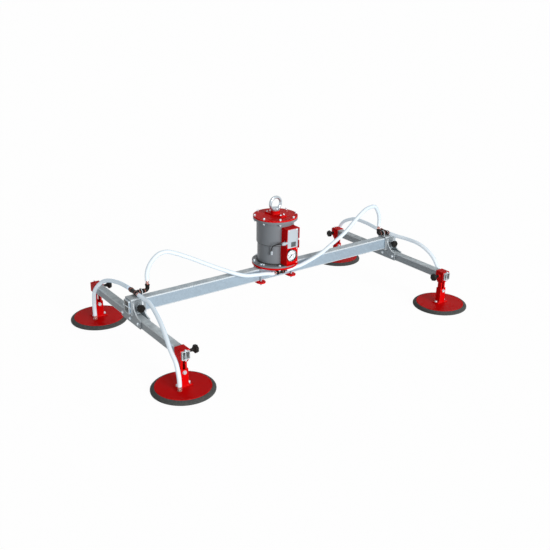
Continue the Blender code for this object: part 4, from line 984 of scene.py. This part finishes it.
# The grip with its hub, along +Z from the face of the boss, and the stud.
def knobShapes(stem, reach):
    low = stem + knob.hub
    rings = []
    for height, inset in knobEdge:
        ring = []
        for i in range(knob.points):
            wave = ((1 - math.cos(knob.lobes * 2 * math.pi * i / knob.points)) / 2) ** 0.8
            ring.append(around(i / knob.points, knob.radius - inset - knob.depth * wave, low + height))
        rings.append(ring)
    cap = [(9, 0), (9.3, 0.3), (8.6, 0.9), (7.4, 1.0), (7.0, 0.4), (3.0, 0.3)]
    cap = turned([(r, low + knob.thickness - 0.4 + z) for r, z in cap], count=40)
    hub = turned([(7.6, 1.2), (8.4, 2), (8.8, stem * 0.5), (9.4, stem), (11, stem + 5),
                  (14.5, low - 4), (18, low + 0.5), (18, low + 3)], count=40)
    ribs = [block((0, 20), (-1, 1), (low - 2, low + 1), 0.4, steps=1) for _ in range(knob.lobes)]
    for i, rib in enumerate(ribs):
        rib.transform(Matrix.Rotation(2 * math.pi * i / knob.lobes, 4, "Z"))
    return [loft(rings), cap, hub, *ribs], [thread(knob.stud, (0, 0, -reach), (0, 0, stem + 1), 1.6, 20)]


for stem, group in ((8, "saddle"), (18, "pad")):
    grip, stud = (joined(shapes) for shapes in knobShapes(stem, knobPlace.reach))
    for end, side in corners if group == "pad" else [("", side) for side in sides]:
        s = sides[side]
        if group == "saddle":
            label, place = side, aimed((s * arm.x, knobPlace.saddleY, beam.middle), (0, -1, 0))
        else:
            label = f"{end}_{side}"
            place = aimed((s * knobPlace.padX, ends[end] * knobPlace.padY, knobPlace.padZ), (-s, 0, 0))
        body = f"{group}_knob_{label}"
        piece(f"{group}KnobGrip_{label}", body, "blackPlastic", grip, body, place)
        piece(f"{group}KnobStud_{label}", body, "brightSteel", stud, place=place)
print("knobs made")

# hose fittings

fitting = named(y=5, z=370, bend=913, tee=991, radius=12, rise=38, front=-17, back=65, nut=30, nutFace=953.7)
barb = named(length=22, radius=7, ridge=9.3)


def barbShape(start, way):
    r, ridge = barb.radius, barb.ridge
    profile = [(r + 1, -2), (r + 1, 1), (r, 1.4)]
    for low in (2.5, 8.5, 14.5):
        profile += [(r, low), (ridge, low + 0.6), (ridge, low + 1.2), (r, low + 5.2)]
    profile += [(r, 21), (r - 1.6, barb.length), (r - 3, barb.length), (r - 3, 16)]
    return turned(profile, aimed(start, way), 28)


# A moulded mouth with two ribs round it.
def collar(start, way, radius, length):
    r = radius
    profile = [(r - 2, 0), (r - 0.4, 0.5), (r, 1), (r, length * 0.35), (r - 1.4, length * 0.42)]
    profile += [(r - 1.4, length * 0.58), (r, length * 0.65), (r, length - 1), (r - 1, length)]
    return turned(profile, aimed(start, way), 36)


for side, s in sides.items():
    body = f"saddle_{side}"
    y, z = fitting.y, fitting.z
    bend, tee, r = s * fitting.bend, s * fitting.tee, fitting.radius
    turn = 16
    path = [Vector((tee, y, z)), Vector((bend + s * turn, y, z))]
    for step in range(1, 9):
        angle = math.pi / 2 * step / 8
        path.append(Vector((bend + s * turn * (1 - math.sin(angle)), y, z + turn * (1 - math.cos(angle)))))
    path.append(Vector((bend, y, z + fitting.rise)))
    face = s * fitting.nutFace
    shapes = [sweep(path, r, 32), sweep([(tee, fitting.front, z), (tee, fitting.back, z)], 13, 32),
              collar((bend, y, z + 26), (0, 0, 1), 14, 12), collar((tee, fitting.front + 12, z), (0, -1, 0), 15, 12),
              collar((tee, fitting.back - 12, z), (0, 1, 0), 15, 12),
              collar((tee - s * 10, y, z), (-s, 0, 0), 14.5, 10),
              hexagon(fitting.nut, (face, y, z), (face - s * 8, y, z)),
              collar((face - s * 9, y, z), (-s, 0, 0), 13.5, 8)]
    piece(f"hoseFitting_{side}", body, "blackPlastic", shapes, f"end_fitting_{side}")
    shapes = [barbShape((bend, y, z + fitting.rise), (0, 0, 1)), barbShape((tee, fitting.front, z), (0, -1, 0)),
              barbShape((tee, fitting.back, z), (0, 1, 0)),
              rod(13.6, (face - s * 18, y, z), (face - s * 21, y, z), 36),
              rod(14.4, (tee - s * 21, y, z), (tee - s * 24, y, z), 36),
              rod(15.2, (tee, -2, z), (tee, -4.5, z), 36), rod(15.2, (tee, 50, z), (tee, 52.5, z), 36)]
    piece(f"hoseBarbs_{side}", body, "copperFitting", shapes)

centreTee = named(place=(-10, -75, 311), half=30, radius=13, top=349.7)
x, y, z = centreTee.place
half = centreTee.half
shapes = [sweep([(x - half, y, z), (x + half, y, z)], centreTee.radius, 32),
          *[collar((x + w * (half - 12), y, z), (w, 0, 0), 15, 12) for w in (-1, 1)],
          rod(8, (x, y, z), (x, y, centreTee.top), 28), collar((x, y, z + 10), (0, 0, 1), 12, 10)]
piece("centreTeeBody", "frame", "blackPlastic", shapes, "centre_tee")
shapes = [barbShape((x + w * half, y, z), (w, 0, 0)) for w in (-1, 1)]
shapes += [rod(15.2, (x + w * 13, y, z), (x + w * 16, y, z), 36) for w in (-1, 1)]
piece("centreTeeBarbs", "frame", "copperFitting", shapes)
top = centreTee.top
piece("centreTeePort", "frame", "boltSteel", [hexagon(19, (x, y, top - 8), (x, y, top))])
print("fittings made")

# suction pads

padPlace = named(x=1000, y=545)
bracket = named(half=30, length=32.5, wall=4.5, corner=4, z=220, hangerX=20, hangerY=15, hangerLow=92,
                hangerTop=191, hangerWall=4, slotHalf=7.5, slotLow=102, slotHigh=178, bossRadius=11, boss=11)
yoke = named(x=25, y=20, low=29, high=128, wall=4, boltZ=110, footX=46, footY=25, footLow=24, footHigh=30,
             footBolt=36)
padDisc = named(radius=157, low=15.7, high=23.7, edge=1.6, spigot=(-47, -46))
sealProfile = [(157.3, 21.2), (158.4, 22.2), (160.2, 22.4), (162.4, 21.6), (163.2, 20.6), (164, 21), (167.4, 19.4),
               (168.2, 18.3), (169, 18.6), (173, 15.6), (173.8, 14.4), (174.6, 14.6), (178.2, 11.2), (179.6, 9),
               (180, 7), (180, 3.6), (179.4, 1.8), (178, 0.6), (176, 0), (152, 0), (148, 0.8), (140, 4.6), (134, 8),
               (132, 10), (132, 15.2), (134, 15.4), (157.3, 15.4)]


def bracketShapes():
    half, length, z = bracket.half, bracket.length, bracket.z
    shapes = [hollowBar(half, half, length, bracket.wall, bracket.corner, move(0, 0, z) @ alongY, 1)]
    w, d, t = bracket.hangerX, bracket.hangerY, bracket.hangerWall
    low, high = bracket.hangerLow, bracket.hangerTop
    post = hollowBar(w, d, (high - low) / 2, t, 2.5, move(0, 0, (low + high) / 2), 0.8)
    r = bracket.slotHalf
    slot = block((-r, r), (-3 * d, 3 * d), (bracket.slotLow, bracket.slotHigh), r - 0.2, 1, 6)
    shapes.append(carved(post, [slot], 0.5))
    for side in (-1, 1):
        wide = length - 1
        outline = [(d, z - half - 22), (wide, z - half - 3), (wide, z - half + 2)]
        outline += [(-y, h) for y, h in reversed(outline)]
        shapes.append(slab(outline, 5, move(side * (w + 1.5), 0, 0) @ alongX, 0.8))
        across = side * (w + 4.2)
        shapes.append(bead((across, -wide, z - half), (across, wide, z - half), 1.8))
        for y in (-1, 1):
            shapes.append(bead((side * w, y * (d + 0.2), z - half - 21), (side * w, y * d, z - half), 1.6))
    boss = bracket.bossRadius
    return shapes + [rod(boss, (half - 2, 0, z), (half + bracket.boss, 0, z), 40, 1),
                     ringBead(boss, 0, 1.8, aimed((half, 0, z), (1, 0, 0)), 80)]


def yokeShapes():
    x, y, low, high = yoke.x, yoke.y, yoke.low, yoke.high
    shapes = [hollowBar(x, y, (high - low) / 2, yoke.wall, 3, move(0, 0, (low + high) / 2), 0.8)]
    shapes.append(block((-yoke.footX, yoke.footX), (-yoke.footY, yoke.footY), (yoke.footLow, yoke.footHigh), 1))
    z = yoke.footHigh
    for s in (-1, 1):
        shapes += [bead((-x, s * y, z), (x, s * y, z), 2), bead((s * x, -y, z), (s * x, y, z), 2)]
    return shapes


def padBoltShapes():
    y, z = yoke.y, yoke.boltZ
    shapes = bolt((0, -y, z), (0, -1, 0), 19, 8, 6) + bolt((0, y, z), (0, 1, 0), 19, 8, 6, 3)
    shapes.append(rod(6, (0, -y, z), (0, y, z), 24))
    for x in (-yoke.footBolt, yoke.footBolt):
        shapes += bolt((x, 0, yoke.footHigh), (0, 0, 1), 15, 8, 4, 2)
    return shapes


def spigotShapes():
    x, y = padDisc.spigot
    foot = padDisc.high + 6
    return [hexagon(21, (x, y, padDisc.high), (x, y, foot)), barbShape((x, y, foot), (0, 0, 1))]


bracketMesh, yokeMesh, padBoltMesh = joined(bracketShapes()), joined(yokeShapes()), joined(padBoltShapes())
plateMesh = joined([disc(padDisc.radius, padDisc.low, padDisc.high, padDisc.edge, 128)])
sealMesh = joined([turned(sealProfile, count=144, closed=True)])
spigotMesh = joined(spigotShapes())
for end, side in corners:
    corner = f"{end}_{side}"
    turn = Matrix.Rotation(math.pi if side == "right" else 0, 4, "Z")
    place = move(sides[side] * padPlace.x, ends[end] * padPlace.y, 0) @ turn
    pad = f"pad_{corner}"
    piece(f"padBracket_{corner}", f"bracket_{corner}", "paintedRed", bracketMesh, f"pad_bracket_{corner}", place)
    piece(f"padYoke_{corner}", pad, "paintedRed", yokeMesh, f"pad_yoke_{corner}", place)
    piece(f"padPlate_{corner}", pad, "paintedRed", plateMesh, f"pad_disc_{corner}", place)
    piece(f"padSeal_{corner}", pad, "rubber", sealMesh, f"pad_seal_{corner}", place, 50)
    piece(f"padBolts_{corner}", pad, "boltSteel", padBoltMesh, place=place)
    piece(f"padSpigot_{corner}", pad, "copperFitting", spigotMesh, place=place)
print("pads made")

# vacuum cylinder

cylinder = named(liner=113.5, bore=108, flange=148, flangeLow=362.3, flangeHigh=373.7, top=663.6, jacket=119.8,
                 jacketLow=502.9, topFlange=142, topFlangeLow=649.4, bolts=8)
c = cylinder
profile = [(c.flange - 1, c.flangeLow), (c.flange, c.flangeLow + 1), (c.flange, c.flangeHigh - 1),
           (c.flange - 1, c.flangeHigh), (c.liner + 4, c.flangeHigh), (c.liner, c.flangeHigh + 0.2),
           (c.liner, c.top), (c.bore, c.top), (c.bore, c.flangeLow)]
shapes = [turned(profile, count=128, closed=True), ringBead(c.liner + 1, c.flangeHigh + 0.5, 3, count=300)]
piece("cylinderTube", "frame", "paintedGrey", shapes, "cylinder_tube")
inner = c.liner + 0.3
profile = [(inner, c.top), (c.topFlange - 1, c.top), (c.topFlange, c.top - 1),
           (c.topFlange, c.topFlangeLow + 1), (c.topFlange - 1, c.topFlangeLow),
           (c.jacket + 2, c.topFlangeLow), (c.jacket, c.topFlangeLow - 2),
           (c.jacket, c.jacketLow + 1), (c.jacket - 1, c.jacketLow), (inner, c.jacketLow)]
piece("upperSleeve", "frame", "paintedGrey", [turned(profile, count=128, closed=True)], "upper_sleeve")

# Two thin dark rubber rings put where there is only shade: painted shade lines under the jacket's lower end and just
# above the bottom flange.
lip = [(113.7, 500.4), (118, 500.4), (118.8, 501.2), (118.8, 502.8), (113.7, 502.8)]
foot = [(113.7, 374.2), (117.5, 374.2), (118, 375), (118, 381.5), (116.5, 383), (113.7, 383)]
shapes = [turned(profile, count=128, closed=True) for profile in (lip, foot)]
piece("paintedShadeRings", "frame", "rubber", shapes)

basePlate = named(radius=148, low=350, high=362, barX=75, barHalf=18, barLength=50, barLow=341.3)
shapes = [disc(basePlate.radius, basePlate.low, basePlate.high, 1.2, 128)]
for s in (-1, 1):
    span = (s * basePlate.barX - basePlate.barHalf, s * basePlate.barX + basePlate.barHalf)
    shapes.append(block(span, (-basePlate.barLength, basePlate.barLength), (basePlate.barLow, basePlate.low + 1), 1))
piece("basePlate", "frame", "paintedRed", shapes, "base_plate")
topCover = named(radius=142, low=663.9, high=673.9, edge=1.5, bore=18.5)
piece("topCover", "frame", "paintedRed", [disc(count=128, **topCover)], "top_cover")


def flangeBolts(below, above, across, head, nut, radius):
    shapes = []
    for i in range(cylinder.bolts):
        share = (i + 0.5) / cylinder.bolts
        shapes += bolt(around(share, radius, above), (0, 0, 1), across, head, 4)
        shapes += bolt(around(share, radius, below), (0, 0, -1), across, nut, 4, 4)
    return shapes


lowBolts = named(below=350, above=373.8, across=13, head=7, nut=6.5, radius=135.4)
topBolts = named(below=649.2, above=673.9, across=12, head=10, nut=8, radius=133.4)
piece("lowFlangeBolts", "frame", "boltSteel", flangeBolts(**lowBolts))
piece("topFlangeBolts", "frame", "boltSteel", flangeBolts(**topBolts))

bush = named(radius=30, low=674.2, high=685.9, lugX=25, lugY=78, lug=8, turn=math.radians(11), screwX=14, screwY=59)
turn = Matrix.Rotation(bush.turn, 4, "Z")
outline = roundedOutline(bush.lugX, bush.lugY, 8)
lug = slab(outline, bush.lug, turn @ move(0, 0, bush.low + bush.lug / 2), 1)
rodRoom = rod(topCover.bore, (0, 0, 600), (0, 0, 750), 64)
shapes = [disc(bush.radius, bush.low, bush.high, 1.5, 64, bore=topCover.bore), carved(lug, [rodRoom], 0),
          ringBead(bush.radius, bush.low + bush.lug, 1.8)]
piece("guideBush", "frame", "paintedRed", shapes, "guide_bush")
shapes = []
for x in (-bush.screwX, bush.screwX):
    for y in (-bush.screwY, bush.screwY):
        shapes += bolt(turn @ Vector((x, y, bush.low + bush.lug)), (0, 0, 1), 10, 6, 3)
piece("bushScrews", "frame", "boltSteel", shapes)

# the rod, its head and the eye, which rise together
rodHead = named(radius=29, low=686.2, high=701.7, way=(0.5, -0.87, 0))
head = disc(rodHead.radius, rodHead.low, rodHead.high, 1.5, 64)
edge = Vector(rodHead.way) * rodHead.radius + Vector((0, 0, 694))
hole = rod(2.6, edge - Vector(rodHead.way) * 9, edge + Vector(rodHead.way) * 5, 24, 0.1)
piece("rodHead", "lift_rod", "paintedRed", [carved(head, [hole], 0)], "rod_head")
liftRod = named(radius=18, low=371, high=686, washer=26, washerLow=398.3, washerHigh=404, nut=45, nutLow=374,
                nutHigh=379.7)
r, low, high = liftRod.radius, liftRod.low, liftRod.high
shapes = [turned([(r - 1, low), (r, low + 1), (r, high - 0.3), (r - 0.6, high)], count=64),
          disc(liftRod.washer, liftRod.washerLow, liftRod.washerHigh, 1, 48),
          hexagon(liftRod.nut, (0, 0, liftRod.nutHigh), (0, 0, liftRod.nutLow))]
piece("pistonRod", "lift_rod", "brightSteel", shapes, "piston_rod")

eye = named(ring=39.5, bar=9.5, middle=748, across=46, low=702, high=721)
rings = []
for i in range(96):
    angle = 2 * math.pi * i / 96
    out = Vector((math.cos(angle), 0, math.sin(angle)))
    thick = eye.bar * (1 + 0.1 * max(0, -math.sin(angle)) ** 6)
    spot = Vector((0, 0, eye.middle)) + out * eye.ring
    rings.append([spot + out * p.x + Vector((0, p.y, 0)) for p in circle(thick, 28)])
ring = loft(rings, closed=True)
for vertex in ring.verts:
    vertex.co.z = max(vertex.co.z, eye.low + 2)
neck = turned([(22, eye.high - 3), (20, eye.high + 0.5), (15, eye.high + 2), (10, eye.high + 2.5)], count=48)
nut = hexagon(eye.across, (0, 0, eye.low), (0, 0, eye.high), -0.1)
piece("liftingEye", "lift_rod", "brightSteel", [ring, neck, nut], "lifting_eye")
for name, look in (("piston", "castAlloy"), ("piston_seal", "rubber")):
    dress(frame["nodes"][name], look)
print("cylinder and lift rod made")

# beam clamp

clamp = named(leftX=-134.5, rightX=106, y=38.5, half=30, low=251.7, high=260.7, rod=5, nut=7, across=16,
              rodLow=235, throughTop=383, screwedTop=356, nutFace=373.8)
for side, x in (("left", clamp.leftX), ("right", clamp.rightX)):
    outline = []
    for w in (-1, 1):
        for step in range(25):
            angle = math.pi * step / 24
            outline.append((w * clamp.half * math.cos(angle), w * (clamp.y + clamp.half * math.sin(angle))))
    middle = (clamp.low + clamp.high) / 2
    bar = slab(outline, clamp.high - clamp.low, move(x, 0, middle), 1.2)
    piece(f"clampBar_{side}", "frame", "paintedRed", [bar], f"clamp_bar_{side}")
    for end, w in ends.items():
        y = w * clamp.y
        top = clamp.throughTop if side == "left" else clamp.screwedTop
        shapes = [thread(clamp.rod, (x, y, clamp.rodLow), (x, y, top), 1.8, 20)]
        shapes += bolt((x, y, clamp.low), (0, 0, -1), clamp.across, clamp.nut, clamp.rod)
        if side == "left":
            shapes += bolt((x, y, clamp.nutFace), (0, 0, 1), clamp.across, clamp.nut, clamp.rod)
        piece(f"clampRod_{end}_{side}", "frame", "brightSteel", shapes, f"clamp_rod_{end}_{side}")
print("beam clamp made")

# instrument housing, alarm unit and sensor

housing = named(left=-34, right=63, low=382, high=625, back=-85, front=-175, panel=-158, sheet=3, hoodLow=490,
                leftNotch=(511, 552), rightNotch=(540, 555))
h, t = housing, housing.sheet
below, above = h.low - 10, h.high + 10
shell = block((h.left, h.right), (h.front, h.back), (h.low, h.high), 2)
insideX, insideZ = (h.left + t, h.right - t), (h.low + t, h.high - t)
cuts = [block(insideX, (h.front - 10, h.panel), insideZ, 1, 1),
        block(insideX, (h.panel + t, h.back + 10), insideZ, 1, 1),
        rod(113.8, (0, 0, below), (0, 0, above), 128), rod(120.1, (0, 0, 502.6), (0, 0, above), 128),
        block((h.right - 2 * t, h.right + t), (h.front - 10, h.panel), (below, h.hoodLow), 0),
        block((h.left - t, h.left + 2 * t), (h.front - 10, -144), h.leftNotch, 0),
        block((h.right - 2 * t, h.right + t), (h.front - 10, -164), h.rightNotch, 0)]
piece("controlHousing", "frame", "paintedRed", [carved(shell, cuts, 0.6)], "control_housing")
profile = [(3.6, 0), (3.5, 0.8), (2.4, 1.8), (1.2, 2)]
shapes = [turned(profile, aimed((x, h.panel, z), (0, -1, 0)), 24) for x in (-26, 55) for z in (390, 484)]
piece("panelScrews", "frame", "boltSteel", shapes)

alarm = named(left=-21, right=59.5, low=495, high=618, front=-162, border=4, proud=2, behind=-158.3,
              bodyBack=-128, glandY=-158, glandZ=531.5, seamInset=7, seamLow=503, seamHigh=610)
a = alarm
middle = move((a.left + a.right) / 2, (a.front - a.proud + a.behind) / 2, (a.low + a.high) / 2) @ alongY
halfX, halfZ = (a.right - a.left) / 2, (a.high - a.low) / 2
depth = (a.behind - a.front + a.proud) / 2
shapes = [hollowBar(halfX, halfZ, depth, a.border, 4, middle, 0.8)]
pocket = block((7, 44), (-200, -150.5), (500.5, 532.5), 0)
panelFace = block((a.left + 1, a.right - 1), (a.front, a.behind), (a.low + 1, a.high - 1), 0.4)
shapes.append(carved(panelFace, [pocket.copy()], 0.3))
rear = block((a.left + 4, a.right - 4), (-158, a.bodyBack), (a.low + 4, a.high - 4), 2)
shapes.append(carved(rear, [pocket], 0))
for x in (-1, 1):  # two seams down the lid and a raised lip above the button
    seam = (a.left + a.right) / 2 + x * (halfX - a.seamInset)
    shapes.append(block((seam - 0.5, seam + 0.5), (a.front - 0.4, a.front), (a.seamLow, a.seamHigh), 0.2))
shapes.append(block((5, 46), (a.front - 0.6, a.front), (535, 536.4), 0.3))
gland = [(8, 0), (8, 4), (11, 4.4), (11, 5), (11, 12), (10, 12.6), (10, 14), (11, 14.6), (11, 17), (9.4, 22),
         (6.6, 27), (6, 28), (4.2, 28)]
y, z = a.glandY, a.glandZ
shapes += [turned(gland, aimed((-34, y, z), (-1, 0, 0)), 36), rod(8, (-20, y, z), (-35, y, z), 32),
           hexagon(23, (-38.4, y, z), (-45, y, z))]
piece("alarmUnit", "frame", "palePlastic", shapes, "alarm_box")
profile = [(2.6, 0), (2.5, 0.5), (1.6, 0.9), (0.8, 0.5)]
shapes = [turned(profile, aimed((x, a.front, z), (0, -1, 0)), 20)
          for x in (a.left + 9, a.right - 9) for z in (a.low + 6.5, a.high - 9)]
piece("alarmScrews", "frame", "boltSteel", shapes)

button = named(x=25.5, z=516.5, halfX=18, halfZ=15.5, face=-163, depth=9)
b = button
spot = move(b.x, b.face + b.depth / 2, b.z) @ alongY
shapes = [hollowBar(b.halfX, b.halfZ, b.depth / 2, 3.4, 2, spot, 0.5)]
shapes.append(block((b.x - 15, b.x + 15), (b.face + 0.8, b.face + 8), (b.z - 12.6, b.z + 12.6), 0.4))
for i in range(-2, 3):
    for k in range(-2, 3):
        x, z = b.x + i * 5.2, b.z + k * 4.5
        shapes.append(block((x - 1.9, x + 1.9), (b.face + 0.2, b.face + 1.4), (z - 1.5, z + 1.5), 0.5, steps=2))
piece("alarmButton", "alarm_button", "darkPlastic", shapes, "alarm_button")

sensor = named(axis=Vector((-88.4, -86.5, 0)), low=446, radius=7.5, stubZ=459, stubStart=113.6)
axis, r = sensor.axis, sensor.radius
profile = [(r - 1, 0), (r, 1), (r, 7), (r - 1, 7.6), (r - 1, 9), (r, 9.6),
           (r, 20), (r - 1.5, 21), (5.6, 25), (4.4, 26)]
plug = turned(profile, Matrix.Translation(axis) @ move(0, 0, sensor.low), 36)
wall, rise = axis.normalized() * sensor.stubStart, Vector((0, 0, sensor.stubZ))
stub = rod(4.5, wall + rise, axis + rise, 28)
nut = hexagon(13, wall + rise, wall * 1.025 + rise)
piece("sensorPlug", "frame", "palePlastic", [plug, stub, nut], "sensor_plug")
print("housing and alarm made")

# vacuum gauge

gauge = named(x=8.5, z=447.5, back=-158.3, radius=39, rim=2.4, depth=14, dial=5, sweep=270, marks=50,
              numbers=("0", "20", "40", "60", "80", "100"), numberSize=7.2, numberHeight=0.12, numberRing=22.5)
g = gauge
toFront = move(g.x, g.back, g.z) @ Matrix.Rotation(math.radians(90), 4, "X")
bore = g.radius - g.rim
profile = [(bore, g.dial), (bore, 13.2), (bore + 0.6, g.depth), (g.radius - 0.9, g.depth),
           (g.radius - 0.2, g.depth - 0.5), (g.radius, g.depth - 1.4),
           (g.radius, 9), (g.radius - 1, 8.4), (g.radius - 1, 1), (g.radius - 2, 0), (bore, 0)]
shapes = [turned(profile, toFront, 96, closed=True), turned([(bore, 0), (bore, 3.6)], toFront, 64)]
piece("gaugeCase", "frame", "blackPlastic", shapes, "gauge_case")
piece("gaugeDial", "frame", "dialFace", [disc(bore, 3.6, g.dial, 0.2, 96, toFront)])


# The turn about the dial's middle at a share of its scale, from the lower left.
def dialPlace(share):
    return toFront @ Matrix.Rotation(math.radians(g.sweep * (0.5 - share)), 4, "Z")


shapes = []
for i in range(g.marks + 1):
    long = i % 10 == 0
    inner = 28.5 if long else 31 if i % 5 == 0 else 32
    half = 0.6 if long else 0.3
    mark = block((-half, half), (inner, 34.5), (g.dial, g.dial + 0.25), 0)
    mark.transform(dialPlace(i / g.marks))
    shapes.append(mark)
for i, word in enumerate(g.numbers):
    share = i / (len(g.numbers) - 1)
    angle = math.radians(g.sweep * (0.5 - share))
    curve = bpy.data.curves.new("number", "FONT")
    curve.body = word
    curve.size, curve.extrude = g.numberSize, g.numberHeight
    curve.align_x = curve.align_y = "CENTER"
    bm = asShape(newObject("number", curve))
    bm.transform(toFront @ move(-g.numberRing * math.sin(angle), g.numberRing * math.cos(angle), g.dial + 0.15))
    shapes.append(bm)
piece("gaugeMarks", "frame", "dialInk", shapes)

outline = [(-2, -10), (2, -10), (1.7, 0), (1.3, 14), (0.3, 27), (-0.3, 27), (-1.3, 14), (-1.7, 0)]
pointer = slab(outline, 0.9, move(0, 0, g.dial + 2.5), 0.15)
hub = turned([(3, 0), (3.5, 0.6), (3.5, 1.8), (2.4, 2.4)], move(0, 0, g.dial + 1.6), 28)
pin = turned([(1.4, 0), (1.4, 2)], move(0, 0, g.dial), 16)
piece("gaugeNeedle", "gauge_needle", "dialInk", [pointer, hub, pin], "gauge_needle", dialPlace(0))
lens = turned([(bore - 0.2, 11.1), (bore - 0.2, 12.2), (bore - 2, 12.8), (bore * 0.6, 13.2), (bore * 0.2, 13.3)],
              toFront, 96)
piece("gaugeLens", "frame", "clearPlastic", [lens], "gauge_lens")
print("gauge made")

# floor and light

light = named(sky=0.27, sun=2.35, sunFrom=(0.1, -0.95, 0.22), sunSpread=24)
floor = named(half=90000, low=-20, high=-0.5, tone=0.82, lift=1.06, share=0.9)


# One for rays that come from the camera, a mirror or a clear surface.
def seenDirectly(tree):
    path = node(tree, "ShaderNodeLightPath").outputs
    either = maths(tree, "MAXIMUM", path["Is Camera Ray"], path["Is Glossy Ray"])
    return maths(tree, "MAXIMUM", either, path["Is Transmission Ray"])


def addFloor():
    mesh = joined([block((-floor.half, floor.half), (-floor.half, floor.half), (floor.low, floor.high), 0)])
    mesh.transform(toMetres)
    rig.stage(newObject("floor", mesh))
    made = bpy.data.materials.new("studioFloor")
    made.use_nodes = True
    tree = made.node_tree
    tree.nodes.clear()
    matt = node(tree, "ShaderNodeBsdfDiffuse", inputs={"Color": (floor.tone, floor.tone, floor.tone, 1)}).outputs[0]
    white = node(tree, "ShaderNodeEmission", inputs={"Color": (1, 1, 1, 1), "Strength": floor.lift}).outputs[0]
    share = maths(tree, "MULTIPLY", seenDirectly(tree), floor.share)
    mix = node(tree, "ShaderNodeMixShader", inputs={0: share, 1: matt, 2: white}).outputs[0]
    node(tree, "ShaderNodeOutputMaterial", inputs={0: mix})
    mesh.materials.append(made)


def addLight():
    world = bpy.data.worlds.new("studio")
    bpy.context.scene.world = world
    world.use_nodes = True
    tree = world.node_tree
    tree.nodes.clear()
    sky = node(tree, "ShaderNodeBackground", inputs={"Color": (1, 1, 1, 1), "Strength": light.sky}).outputs[0]
    white = node(tree, "ShaderNodeBackground", inputs={"Color": (1, 1, 1, 1), "Strength": 1.0}).outputs[0]
    mix = node(tree, "ShaderNodeMixShader", inputs={0: seenDirectly(tree), 1: sky, 2: white}).outputs[0]
    node(tree, "ShaderNodeOutputWorld", inputs={0: mix})
    data = bpy.data.lights.new("key", "SUN")
    data.energy = light.sun
    data.angle = math.radians(light.sunSpread)
    newObject("key", data).matrix_world = aimed((0, 0, 3), light.sunFrom)


addFloor()
addLight()
bpy.context.scene.view_settings.view_transform = "Standard"
print("floor and light set")

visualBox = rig.bounds()
sizes = {"cad": [list(v) for v in cadBox], "visual": [list(v) for v in visualBox]}
with open("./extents.json", "w") as out:
    json.dump(sizes, out)
